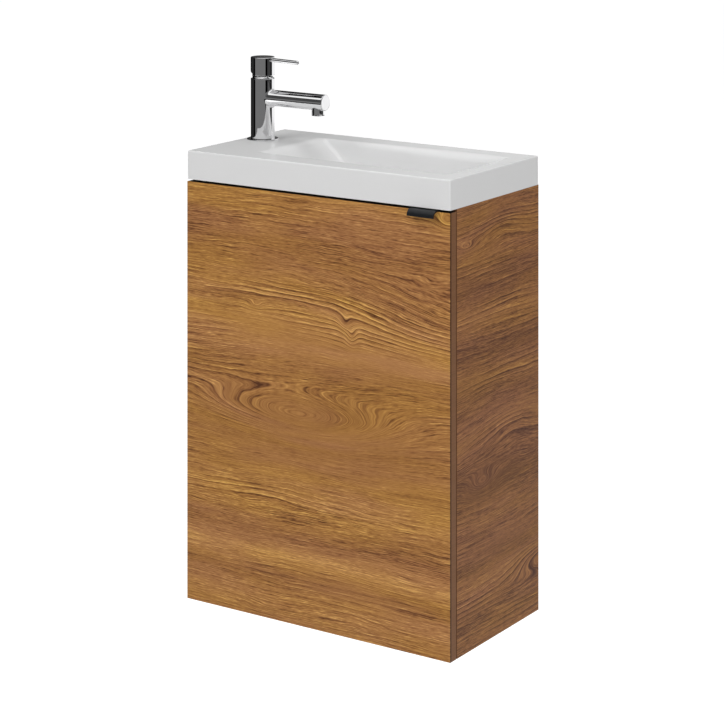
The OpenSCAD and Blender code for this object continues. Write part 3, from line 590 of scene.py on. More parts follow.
class Wood(Graph):
    """The nodes of one veneer, which know the place along and across its grain in mm.

    Attributes:
        place: The place on the board, by axis.
        facing: The board's normal, by axis.
        face: The axis out of the board's face.
        along: The place along the grain.
        across: The place across the grain.
        rings: The same, bowed as the wood's lines are.
        shift: Moves the noise, so that no two boards are alike.
    """

    def __init__(self, name: str, grain: Grain, shift: float) -> None:
        """Starts the veneer's material.

        Args:
            name: Name of the material.
            grain: Which way the board's face looks.
            shift: Moves the noise, so that no two boards are alike.
        """
        super().__init__(bpy.data.materials.new(name))
        place, normal = self.place_mm()
        self.place = dict(zip("xyz", self.split(place)))
        self.facing = dict(zip("xyz", self.split(normal)))
        along, across, self.face = grain.value
        self.along, self.across = self.place[along], self.place[across]
        self.rings = self.across
        self.shift = shift

    def layer(self, layer: Layer, bowed: bool = True) -> bpy.types.NodeSocket:
        """Adds a layer of noise.

        Args:
            layer: The layer.
            bowed: True if it follows the wood's bowed lines.

        Returns:
            Its number, from 0 to 1.
        """
        across = self.rings if bowed else self.across
        place = self.vector(self.math("DIVIDE", self.along, layer.long),
                            self.math("DIVIDE", across, layer.wide), self.shift + layer.offset)
        return self.noise(place, detail=layer.detail, rough=layer.rough)

    def marked(self, tone: Source, marks: Source, strength: Source) -> bpy.types.NodeSocket:
        """Lifts and lowers a tone by marks whose middle is a half."""
        return self.math("MULTIPLY_ADD", self.math("SUBTRACT", marks, 0.5), strength, tone)

    def swells(self, placed: Sequence[Swell], start: Source) -> Source:
        """Adds up placed swells.

        Args:
            placed: The swells.
            start: What they are added to.

        Returns:
            The sum.
        """
        total = start
        where = self.vector(self.along, self.across, 0.0)
        for one in placed:
            spread = (1 / one.half_along, 1 / one.half_across, 0)
            moved = (-one.along / one.half_along, -one.across / one.half_across, 0)
            local = self.node("ShaderNodeVectorMath", {0: where, 1: spread, 2: moved},
                              operation="MULTIPLY_ADD").outputs[0]
            square = self.node("ShaderNodeVectorMath", {0: local, 1: local},
                               operation="DOT_PRODUCT").outputs["Value"]
            fade = self.math("EXPONENT", self.math("MULTIPLY", square, -1.0))
            total = self.math("MULTIPLY_ADD", fade, one.rise, total)
        return total


@dataclass(frozen=True)
class Veneer:
    """A satin wood veneer with a placed figure.

    Attributes:
        name: Name of the material.
        grain: Which way the board's face looks.
        dark: Colour of the darkest lines.
        deep: Colour of the darker wood.
        mid: Colour between.
        light: Colour of the lighter wood.
        gold: Colour of the brightest lines.
        edge: Colour of the edge strip.
        top_edge_shade: Colour of the strip along the top: painted shade on the door, for the dark gap
            under the basin, and the plain edge colour on the side.
        height: Height of the board, in mm.
        bands: Tone from 0 to 1 by height in mm across the board.
        figure: Where the lines bow.
        lines: Where the lines stand out.
        calm: Where the drawing fades, or gets stronger.
        shift: Moves the noise, so that no two boards are alike.
        front_shade_line: Place along the face's axis, in mm, in front of which the edge strip has a
            painted shade line.
        front_shade_share: Share of the dark colour that is left in that painted shade.
        satin: Roughness of the darkest wood.
        sheen: How much smoother the brightest wood is.
        gloss: Strength of its reflections.
        relief: Depth of its pores, in metres.
        fibre_relief: Height of its fibres, as a share of that depth.
    """

    name: str
    grain: Grain
    dark: Colour
    deep: Colour
    mid: Colour
    light: Colour
    gold: Colour
    edge: Colour
    top_edge_shade: Colour
    height: float
    bands: tuple[tuple[float, float], ...]
    figure: tuple[Swell, ...] = ()
    lines: tuple[Swell, ...] = ()
    calm: tuple[Swell, ...] = ()
    shift: float = 0.0
    front_shade_line: float = -1000.0
    front_shade_share: float = 0.4
    satin: float = 0.5
    sheen: float = 0.1
    gloss: float = 0.09
    relief: float = 0.00006
    fibre_relief: float = 0.4

    def bow(self, wood: Wood) -> None:
        """Bows the wood's lines by the figure and by slow sways.

        Args:
            wood: The veneer's nodes.
        """
        rings = wood.swells(self.figure, wood.across)
        for sway in SWAYS:
            wave = wood.layer(sway, bowed=False)
            rings = wood.math("ADD", rings, wood.math("MULTIPLY_ADD", wave, 2 * sway.strength,
                                                      -sway.strength))
        wood.rings = rings

    def draw_lines(self, wood: Wood, tone: Source) -> Source:
        """Draws the dark and bright sides of the growth lines.

        Args:
            wood: The veneer's nodes.
            tone: The tone below them.

        Returns:
            The tone with them.
        """
        spaced = wood.math("DIVIDE", wood.rings, LINE_SPACING)
        phase = wood.math("FRACT", wood.math("MULTIPLY_ADD", wood.layer(WARP), WARP.strength, spaced))
        clear = wood.swells(self.lines, wood.ramp(wood.layer(PATCHES), CLEAR_OF_PATCHES))
        clear = wood.math("MINIMUM", wood.math("MAXIMUM", clear, 0.0), 1.0)
        dark = wood.math("MULTIPLY", wood.ramp(phase, DARK_LINE), clear)
        tone = wood.math("SUBTRACT", tone, wood.math("MULTIPLY", dark, DARK_LINE_STRENGTH))
        bright = wood.math("MULTIPLY", wood.ramp(phase, BRIGHT_LINE), clear)
        return wood.math("MULTIPLY_ADD", bright, BRIGHT_LINE_STRENGTH, tone)

    def draw_fibres(self, wood: Wood, tone: Source) -> tuple[Source, Source]:
        """Draws the hairs, flecks, fibres, pores and glints.

        Args:
            wood: The veneer's nodes.
            tone: The tone below them.

        Returns:
            The tone with them, and the height of their relief.
        """
        tone = wood.marked(tone, wood.layer(HAIRS), HAIRS.strength)
        places, fibre = wood.layer(PORE_PLACES), wood.layer(FIBRE)
        tone = wood.marked(tone, wood.layer(FLECK), FLECK.strength)
        tone = wood.marked(tone, fibre, wood.ramp(places, FIBRE_OF_PLACES))
        gathered = wood.math("MULTIPLY_ADD", places, PORE_PLACES.strength, wood.layer(PORES))
        pores = wood.ramp(gathered, PORE_CUT)
        tone = wood.math("MULTIPLY_ADD", pores, PORES.strength, tone)
        glints = wood.ramp(wood.layer(GLINTS), GLINT_CUT)
        tone = wood.math("MULTIPLY_ADD", glints, GLINTS.strength, tone)
        return tone, wood.math("SUBTRACT", wood.math("MULTIPLY", fibre, self.fibre_relief), pores)

    def edge_colour(self, wood: Wood) -> Source:
        """Colours the edge strips.

        Args:
            wood: The veneer's nodes.

        Returns:
            The strips' colour, with painted shade in front of the front shade line and on the door's top
            strip.
        """
        colour = wood.varied(wood.layer(STRIP, bowed=False), self.edge, STRIP.strength)
        # Painted shade: the edge strip's front part takes a dark colour, a shadow line at the door's front
        # edge.
        front_shaded = wood.math("LESS_THAN", wood.place[wood.face], self.front_shade_line)
        colour = wood.mix(front_shaded, colour, shaded(self.dark, self.front_shade_share))
        # Painted shade: the upward strip takes the top colour, near-black on the door so that the gap
        # under the basin reads dark.
        top_shade_mask = wood.math("GREATER_THAN", wood.facing["z"], 0.5)
        return wood.mix(top_shade_mask, colour, self.top_edge_shade)

    def material(self) -> bpy.types.Material:
        """Builds the veneer.

        Returns:
            The material.
        """
        wood = Wood(self.name, self.grain, self.shift)
        self.bow(wood)
        share = wood.math("DIVIDE", wood.rings, self.height, clamp=True)
        ground = wood.ramp(share, [(mm / self.height, value) for mm, value in self.bands])
        tone: Source = ground
        for layer in (MOTTLE, STREAK):
            tone = wood.marked(tone, wood.layer(layer), layer.strength)
        tone = self.draw_lines(wood, tone)
        tone, relief = self.draw_fibres(wood, tone)
        strength = wood.math("MAXIMUM", wood.swells(self.calm, 1.0), CALMEST)
        drawn = wood.math("SUBTRACT", tone, ground)
        tone = wood.math("MULTIPLY_ADD", drawn, strength, ground, clamp=True)

        woods = (self.dark, self.deep, self.mid, self.light, self.gold)
        drift = wood.mix(wood.ramp(wood.layer(DRIFT), DRIFT_CUT), COOL_DRIFT, WARM_DRIFT)
        colour = wood.times(wood.ramp(tone, list(zip(COLOUR_PLACES, woods))), drift)
        on_face = wood.math("GREATER_THAN", wood.math("ABSOLUTE", wood.facing[wood.face]), 0.5)
        colour = wood.mix(on_face, self.edge_colour(wood), colour)
        rough = wood.math("MULTIPLY_ADD", tone, -self.sheen, self.satin)
        return wood.surface(Base_Color=colour, Roughness=rough, Specular_IOR_Level=self.gloss,
                            Normal=wood.bump(relief, self.relief, strength=0.5))


@dataclass(frozen=True)
class GlossWhite:
    """The basin's gloss white skin, with faint cloudiness and almost no texture.

    Attributes:
        name: Name of the material.
        tint: Its colour.
        cloud: How far the colour varies.
        cloud_scale: Clouds for each mm.
        fine_scale: Fine marks for each mm.
        rough: Lowest roughness.
        spread: How far the roughness varies.
        gloss: Strength of its reflections.
        relief: Depth of the fine marks, in metres.
    """

    name: str = "basin_gloss_white"
    tint: Colour = (0.76, 0.76, 0.76)
    cloud: float = 0.015
    cloud_scale: float = 0.02
    fine_scale: float = 0.6
    rough: float = 0.2
    spread: float = 0.05
    gloss: float = 0.06
    relief: float = 0.00001

    def material(self) -> bpy.types.Material:
        """Builds the skin.

        Returns:
            The material.
        """
        graph = Graph(bpy.data.materials.new(self.name))
        place, _ = graph.place_mm()
        colour = graph.varied(graph.noise(place, self.cloud_scale, 3.0), self.tint, self.cloud)
        fine = graph.noise(place, self.fine_scale)
        rough = graph.math("MULTIPLY_ADD", fine, self.spread, self.rough)
        return graph.surface(Base_Color=colour, Roughness=rough, Specular_IOR_Level=self.gloss,
                             Normal=graph.bump(fine, self.relief, strength=0.3))


@dataclass(frozen=True)
class Metal:
    """A metal finish.

    Attributes:
        name: Name of the material.
        tint: Its colour.
        rough: Middle roughness.
        spread: How far the roughness varies.
        brush: Sizes of the marks along X, Y and Z, in mm.
        relief: Depth of the marks, in metres.
        contrast: How far the colour varies.
    """

    name: str
    tint: Colour
    rough: float
    spread: float = 0.04
    brush: Triple = (12.0, 12.0, 12.0)
    relief: float = 0.0
    contrast: float = 0.05

    def material(self) -> bpy.types.Material:
        """Builds the metal.

        Returns:
            The material.
        """
        graph = Graph(bpy.data.materials.new(self.name))
        place, _ = graph.place_mm()
        marks = graph.noise(graph.times(place, tuple(1 / size for size in self.brush)), detail=3.0)
        rough = graph.math("MULTIPLY_ADD", marks, self.spread, self.rough - self.spread / 2)
        colour = graph.varied(marks, self.tint, self.contrast)
        inputs: dict[str, Source] = {"Base_Color": colour, "Roughness": rough, "Metallic": 1.0}
        if self.relief:
            inputs["Normal"] = graph.bump(marks, self.relief, strength=0.4)
        return graph.surface(**inputs)


@dataclass(frozen=True)
class Moulded:
    """A moulded plastic, rubber or painted finish.

    Attributes:
        name: Name of the material.
        tint: Its colour.
        rough: Middle roughness.
        speck: Size of its fine texture, in mm.
        relief: Depth of that texture, in metres.
        contrast: How far the colour varies.
        broad_scale: Colour patches for each mm.
        spread: How far the roughness varies.
    """

    name: str
    tint: Colour
    rough: float
    speck: float = 0.6
    relief: float = 0.00002
    contrast: float = 0.06
    broad_scale: float = 0.04
    spread: float = 0.12

    def material(self) -> bpy.types.Material:
        """Builds the finish.

        Returns:
            The material.
        """
        graph = Graph(bpy.data.materials.new(self.name))
        place, _ = graph.place_mm()
        fine = graph.noise(place, 1 / self.speck)
        colour = graph.varied(graph.noise(place, self.broad_scale), self.tint, self.contrast)
        rough = graph.math("MULTIPLY_ADD", fine, self.spread, self.rough - self.spread / 2)
        return graph.surface(Base_Color=colour, Roughness=rough,
                             Normal=graph.bump(fine, self.relief, strength=0.5))


Finish = Veneer | GlossWhite | Metal | Moulded
Dressing = tuple[tuple[Finish, tuple[str, ...]], ...]

BOARD_HEIGHT = 541.0
FRONT_VENEER = Veneer(
    name="door_veneer", grain=Grain.FRONT,
    dark=linear(88, 54, 32), deep=linear(137, 91, 52), mid=linear(168, 118, 66),
    light=linear(188, 137, 76), gold=linear(228, 178, 100), edge=linear(124, 86, 58),
    # The door's near-black top strip is painted shade for the gap under the basin.
    # The edge strip is painted with a shade line in front of -213.4 mm.
    top_edge_shade=linear(22, 18, 15), height=BOARD_HEIGHT, front_shade_line=-213.4,
    bands=((0, 0.54), (25, 0.60), (55, 0.45), (82, 0.75), (112, 0.40), (155, 0.65), (195, 0.53),
           (230, 0.46), (275, 0.53), (315, 0.46), (340, 0.61), (405, 0.66), (440, 0.53), (480, 0.42),
           (BOARD_HEIGHT, 0.62)),
    figure=(Swell(245, 300, 260, 62, -22), Swell(225, 396, 165, 62, 44), Swell(47, 388, 8, 11, 8),
            Swell(57, 374, 8, 13, 12), Swell(-20, 262, 123, 26, 60), Swell(-165, 396, 40, 4, 6),
            Swell(-90, 394, 14, 5, 7), Swell(196, 531, 15, 9, 12), Swell(-60, 157, 60, 14, -6),
            Swell(-40, 14, 90, 12, 8)),
    lines=(Swell(-20, 412, 120, 14, 0.6), Swell(110, 384, 110, 22, 1.0), Swell(52, 378, 16, 16, 0.55),
           Swell(30, 340, 120, 18, -0.5), Swell(-106, 268, 46, 30, 0.6), Swell(30, 272, 80, 40, -1.0),
           Swell(30, 262, 60, 30, -0.4), Swell(20, 318, 200, 16, 0.25), Swell(-95, 400, 60, 10, 0.5),
           Swell(90, 250, 90, 26, -0.35), Swell(-40, 157, 90, 10, 0.5), Swell(192, 530, 18, 10, 0.6)),
    calm=(Swell(-30, 262, 110, 28, -0.5), Swell(120, 258, 90, 30, -0.3), Swell(60, 345, 130, 20, -0.5),
          Swell(-90, 370, 120, 16, -0.4), Swell(40, 210, 200, 24, -0.45), Swell(0, 140, 180, 20, 0.35),
          Swell(60, 415, 150, 14, 0.3), Swell(80, 62, 120, 18, -0.3)),
)
SIDE_VENEER = Veneer(
    name="side_veneer", grain=Grain.SIDE,
    dark=linear(82, 53, 37), deep=linear(118, 78, 49), mid=linear(149, 102, 61),
    light=linear(168, 118, 68), gold=linear(204, 151, 85), edge=linear(114, 78, 54),
    top_edge_shade=linear(114, 78, 54), height=BOARD_HEIGHT,
    bands=((0, 0.46), (45, 0.38), (75, 0.60), (100, 0.38), (150, 0.48), (200, 0.28), (250, 0.54),
           (300, 0.38), (330, 0.52), (360, 0.28), (400, 0.62), (435, 0.34), (480, 0.54),
           (BOARD_HEIGHT, 0.48)),
    figure=(Swell(-87, 505, 50, 26, -11), Swell(-176, 494, 22, 6, 9), Swell(-60, 255, 110, 34, -24),
            Swell(-145, 197, 38, 14, 18), Swell(10, 71, 66, 17, -30), Swell(-95, 322, 60, 16, -5)),
    lines=(Swell(-90, 512, 80, 12, 0.7), Swell(-170, 494, 26, 8, 0.6), Swell(-110, 258, 80, 18, 0.6),
           Swell(-30, 71, 56, 18, 1.0), Swell(-100, 322, 90, 8, 0.7), Swell(-150, 60, 50, 10, 0.6),
           Swell(-100, 410, 90, 14, 0.5)),
    calm=(Swell(-110, 205, 100, 40, -0.45), Swell(-100, 110, 90, 24, -0.4)),
    shift=40.0,
)
INNER_VENEER = replace(
    SIDE_VENEER, name="inner_veneer", grain=Grain.FRONT, height=560.0, figure=(), lines=(), calm=(),
    bands=((0, 0.5), (70, 0.42), (300, 0.5), (520, 0.44), (560, 0.5)), shift=80.0)
FLOOR_VENEER = replace(
    SIDE_VENEER, name="bottom_veneer", grain=Grain.FLAT, height=220.0, figure=(), lines=(), calm=(),
    bands=((0, 0.5), (220, 0.5)), shift=120.0)
BASIN_WHITE = GlossWhite()
CHROME = Metal("polished_chrome", (0.88, 0.88, 0.89), 0.03, 0.02)
ZINC = Metal("zinc_plated_steel", (0.60, 0.61, 0.63), 0.34, 0.12, (2.0, 9.0, 2.0), 0.00002)
NICKEL = Metal("nickel_plated_steel", (0.66, 0.65, 0.62), 0.24, 0.10, (7.0, 7.0, 1.2), 0.00001)
BRASS = Metal("machined_brass", (0.66, 0.50, 0.24), 0.28, 0.12, (6.0, 6.0, 0.7), 0.00002)
DARK_STEEL = Metal("blackened_steel", (0.12, 0.12, 0.13), 0.38, 0.1)
BLACK_PULL = Moulded("satin_black", (0.007, 0.008, 0.010), 0.42, 0.35, 0.00001, 0.2)
TRAP_WHITE = Moulded("white_moulding", (0.78, 0.78, 0.76), 0.28, 1.4, 0.00002, 0.02)
HANGER_GREY = Moulded("light_grey_moulding", (0.62, 0.62, 0.61), 0.46)
INSERT_GREY = Moulded("grey_moulding", (0.42, 0.43, 0.44), 0.42)
SEAL_BLACK = Moulded("black_rubber", (0.022, 0.022, 0.022), 0.6)
BUMPER = Moulded("clear_silicone", (0.72, 0.72, 0.70), 0.4)
BEECH = Moulded("plain_beech", (0.55, 0.38, 0.22), 0.55, 0.8, 0.00003, 0.15)


# Sub-assemblies


class Rack:
    """Keeps each finish's material, so that it is built once."""

    def __init__(self) -> None:
        """Starts an empty rack."""
        self.kept: dict[str, bpy.types.Material] = {}

    def of(self, finish: Finish) -> bpy.types.Material:
        """Gives a finish's material.

        Args:
            finish: The finish.

        Returns:
            Its material, built at the first call.
        """
        if finish.name not in self.kept:
            self.kept[finish.name] = finish.material()
        return self.kept[finish.name]


@dataclass
class SubAssembly:
    """Pieces that belong together: new ones, and CAD nodes that keep their shape.

    Attributes:
        label: Its name in the log.
        dressed: Finishes, each with the CAD nodes that get it.
    """

    label: str = "sub-assembly"
    dressed: Dressing = ()

    def make(self, rack: Rack) -> list[str]:
        """Makes the new pieces, of which a plain sub-assembly has none."""
        return []

    def build(self, rack: Rack) -> list[str]:
        """Makes the new pieces and dresses the CAD nodes.

        Args:
            rack: The materials.

        Returns:
            The names of all its pieces.
        """
        names = self.make(rack)
        for finish, nodes in self.dressed:
            dress(rack.of(finish), *nodes)
            names.extend(nodes)
        return names


@dataclass
class Cabinet(SubAssembly):
    """The case on the wall: boards, their joints, hangers and wall plates."""

    label: str = "cabinet"
    dressed: Dressing = (
        (SIDE_VENEER, ("left_side_panel", "right_side_panel")),
        (INNER_VENEER, ("front_rail", "hanging_rail", "low_back_rail")),
        (FLOOR_VENEER, ("bottom_panel",)),
        (ZINC, ("cam_fittings", "left_hanger_hook", "right_hanger_hook", "left_wall_plate",
                "right_wall_plate", "hanger_adjusters")),
        (HANGER_GREY, ("left_hanger_box", "right_hanger_box")),
        (BEECH, ("wood_dowels",)),
    )


@dataclass
class Door(SubAssembly):
    """The veneered door with its edge pull and bumpers."""

    label: str = "door"
    dressed: Dressing = (
        (FRONT_VENEER, ("door_panel",)),
        (BLACK_PULL, ("finger_pull", "finger_pull_screws")),
        (BUMPER, ("door_bumpers",)),
    )


@dataclass
class Hinges(SubAssembly):
    """The two concealed hinges."""

    label: str = "hinges"
    dressed: Dressing = (
        (NICKEL, tuple(f"{level}_hinge_{part}" for level in ("upper", "lower")
                       for part in ("plate", "arm", "link", "cup"))),
        (DARK_STEEL, ("hinge_arm_pins", "hinge_cup_pins")),
        (ZINC, ("hinge_plate_screws", "hinge_cup_screws")),
    )


@dataclass
class Waste(SubAssembly):
    """The waste fitting in the bowl and the bottle trap below it."""

    label: str = "waste"
    dressed: Dressing = (
        (CHROME, ("waste_flange", "waste_plug")),
        (SEAL_BLACK, ("waste_gaskets", "plug_seal", "trap_seals")),
        (TRAP_WHITE, ("trap_inlet_nut", "trap_body", "trap_cup", "trap_outlet_nut", "waste_pipe")),
        (BRASS, ("waste_backnut",)),
    )


@dataclass
class Basin(SubAssembly):
    """The moulded basin with its soft-edged bowl, ramp and tap deck.

    Attributes:
        edge_soft: Rounding of the outer edge and of the hollow's corners.
        rim_run: How far the bowl's rim is rounded on either side of its edge.
        foot_soft: Rounding where the bowl's walls meet its floor.
        under_soft: The same on the underside.
        bowl_left, bowl_right, bowl_front, bowl_back: The bowl's rim.
        bowl_corner: Radius of the rim's corners.
        foot_corner: Radius of the floor's corners.
        foot_left, foot_right: Ends of the floor.
        foot_lean: How far the front and back walls lean in.
        wall: Thickness of the moulding.
        seat: Radius of the level seat round the waste.
        deck: Thickness of the top.
        pocket_left, pocket_front, pocket_back: The hollow in the underside.
        floor_depth: Depth of the bowl.
        floor_rise: How far the floor rises to its right end.
        hole: Radius of the waste hole.
        tap_hole: Radius of the tap's hole.
        roomy: Space beside the bowl at which the hollow is as high as it gets.
        roof_low: Share of that height where there is no space.
        sharp_deg: Edges that turn by more than this stay crisp.
        long_side, short_side, corner_steps: Parts of an outline's sides and corners.
        soft_steps: Parts in each rounding.
    """

    label: str = "basin"
    edge_soft: float = 2.0 * MM
    rim_run: float = 11.0 * MM
    foot_soft: float = 14.0 * MM
    under_soft: float = 5.0 * MM
    bowl_left: float = -108.6 * MM
    bowl_right: float = 171.0 * MM
    bowl_front: float = -175.0 * MM
    bowl_back: float = -39.0 * MM
    bowl_corner: float = 8.0 * MM
    foot_corner: float = 3.0 * MM
    foot_left: float = -34.0 * MM
    foot_right: float = 166.0 * MM
    foot_lean: float = 5.0 * MM
    wall: float = 7.0 * MM
    seat: float = 33.0 * MM
    deck: float = 12.0 * MM
    pocket_left: float = -185.0 * MM
    pocket_front: float = -185.5 * MM
    pocket_back: float = -33.0 * MM
    floor_depth: float = 62.0 * MM
    floor_rise: float = 10.0 * MM
    hole: float = 22.0 * MM
    tap_hole: float = 17.5 * MM
    roomy: float = 60.0 * MM
    roof_low: float = 0.3
    sharp_deg: float = 50.0
    long_side: int = 26
    short_side: int = 18
    corner_steps: int = 10
    soft_steps: int = 8

    def rectangle(self, left: float, right: float, front: float, back: float, corner: float) -> Loop:
        """Walks round a rounded rectangle, always with the same count of points.

        Args:
            left: Lowest X.
            right: Highest X.
            front: Lowest Y.
            back: Highest Y.
            corner: Corner radius.

        Returns:
            The points, at height 0.
        """
        points: Loop = []
        centres = [(right - corner, front + corner, -90), (right - corner, back - corner, 0),
                   (left + corner, back - corner, 90), (left + corner, front + corner, 180)]
        sides = [self.short_side, self.long_side, self.short_side, self.long_side]
        for k, (x, y, start) in enumerate(centres):
            for step in range(self.corner_steps + 1):
                angle = math.radians(start + 90 * step / self.corner_steps)
                points.append(Vector((x + corner * math.cos(angle), y + corner * math.sin(angle), 0)))
            near, (next_x, next_y, next_start) = points[-1], centres[(k + 1) % 4]
            turn = math.radians(next_start)
            far = Vector((next_x + corner * math.cos(turn), next_y + corner * math.sin(turn), 0))
            for step in range(1, sides[k]):
                points.append(near.lerp(far, step / sides[k]))
        return points

    def floor_height(self, at: Vector, top: float) -> float:
        """Gives the height of the bowl's sloping floor."""
        run = (at.x - self.foot_left) / (self.foot_right - self.foot_left)
        return top - self.floor_depth + self.floor_rise * min(1.0, max(0.0, run))

    def drill(self, piece: bpy.types.Object, axis: Vector) -> None:
        """Drills the tap's hole through the deck.

        Args:
            piece: The basin.
            axis: A point on the tap's axis.
        """
        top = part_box("basin")[1].z
        bit = radial((0, top - 2 * self.deck), (self.tap_hole, top - 2 * self.deck),
                     (self.tap_hole, top + self.deck), (0, top + self.deck))
        cut_away(piece, lathe("tap_hole_bit", bit, Matrix.Translation((axis.x, axis.y, 0))))

    def outlines(self) -> list[Loop]:
        """Draws the level outlines, all with the same count of points.

        Returns:
            The outer edge, the bowl's rim and its floor, the hollow in the underside, and the bowl's
            rim and floor as the underside follows them.
        """
        low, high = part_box("basin")
        wall = self.wall
        foot_front, foot_back = self.bowl_front + self.foot_lean, self.bowl_back - self.foot_lean
        return [
            self.rectangle(low.x, high.x, low.y, high.y, self.edge_soft),
            self.rectangle(self.bowl_left, self.bowl_right, self.bowl_front, self.bowl_back,
                           self.bowl_corner),
            self.rectangle(self.foot_left, self.foot_right, foot_front, foot_back, self.foot_corner),
            self.rectangle(self.pocket_left, -self.pocket_left, self.pocket_front, self.pocket_back,
                           self.edge_soft),
            self.rectangle(self.bowl_left - wall, self.bowl_right + wall, self.bowl_front - wall,
                           self.bowl_back + wall, self.bowl_corner + wall),
            self.rectangle(self.foot_left - wall, self.foot_right + wall, foot_front - wall,
                           foot_back + wall, self.bowl_corner + wall),
        ]

    def spoke(self, waste: Vector, top: float, foot_z: float, under: float,
              places: Sequence[Vector]) -> Loop:
        """Draws one section, from the waste hole to the outer edge and back below.

        Args:
            waste: The waste's middle, at height 0.
            top: Height of the deck.
            foot_z: Height of the cabinet's top.
            under: Height of the moulding's lowest face.
            places: The section's point on each of the outlines, in their order.

        Returns:
            The section's points.
        """
        edge, rim, foot, pocket, skin, skin_foot = places
        away, below_away = (foot - waste).normalized(), (skin_foot - waste).normalized()
        hole, seat = waste + away * self.hole, waste + away * self.seat
        seat_z = self.floor_height(Vector((self.foot_left, 0, 0)), top)
        foot_top = self.floor_height(foot, top)
        floor_in, lip, brim = raised(foot, foot_top), raised(rim, top), raised(edge, top)
        skin_low = raised(skin_foot, foot_top - self.wall)
        room = min(1.0, (pocket - skin).length / self.roomy)
        roof_z = foot_z + (top - self.deck - foot_z) * (self.roof_low + (1 - self.roof_low) * room)
        roof = skin.lerp(raised(skin_low, 0), (top - roof_z) / (top - skin_low.z))
        half = (floor_in - lip).angle(brim - lip) / 2
        sections = [
            (raised(hole, seat_z), 0.0),
            (raised(seat, seat_z), 0.0),
            (raised(seat, self.floor_height(seat, top)), 0.0),
            (floor_in, self.foot_soft),
            (lip, self.rim_run * math.tan(half)),
            (brim, self.edge_soft),
            (raised(edge, foot_z), 0.0),
            (raised(pocket, foot_z), 0.0),
            (raised(pocket, roof_z), 0.0),
            (raised(roof, roof_z), 0.0),
            (skin_low, self.under_soft),
            (raised(waste + below_away * self.seat, under), 0.0),
            (raised(hole, under), 0.0),
        ]
        return soften([corner for corner, _ in sections], [radius for _, radius in sections],
                      self.soft_steps)

    def make(self, rack: Rack) -> list[str]:
        """Lofts the basin from its spokes, and drills it for the tap.

        Args:
            rack: The materials.

        Returns:
            The new piece's name.
        """
        low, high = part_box("basin")
        waste, foot_z = raised(middle("waste_flange"), 0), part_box("left_side_panel")[1].z
        spokes = [self.spoke(waste, high.z, foot_z, low.z, places) for places in zip(*self.outlines())]
        piece = loft("basin_skin", spokes, closed=True, sharp_deg=self.sharp_deg)
        self.drill(piece, middle("tap_body"))
        return [stand("cabinet", piece, "white_basin", rack.of(BASIN_WHITE), "basin")]


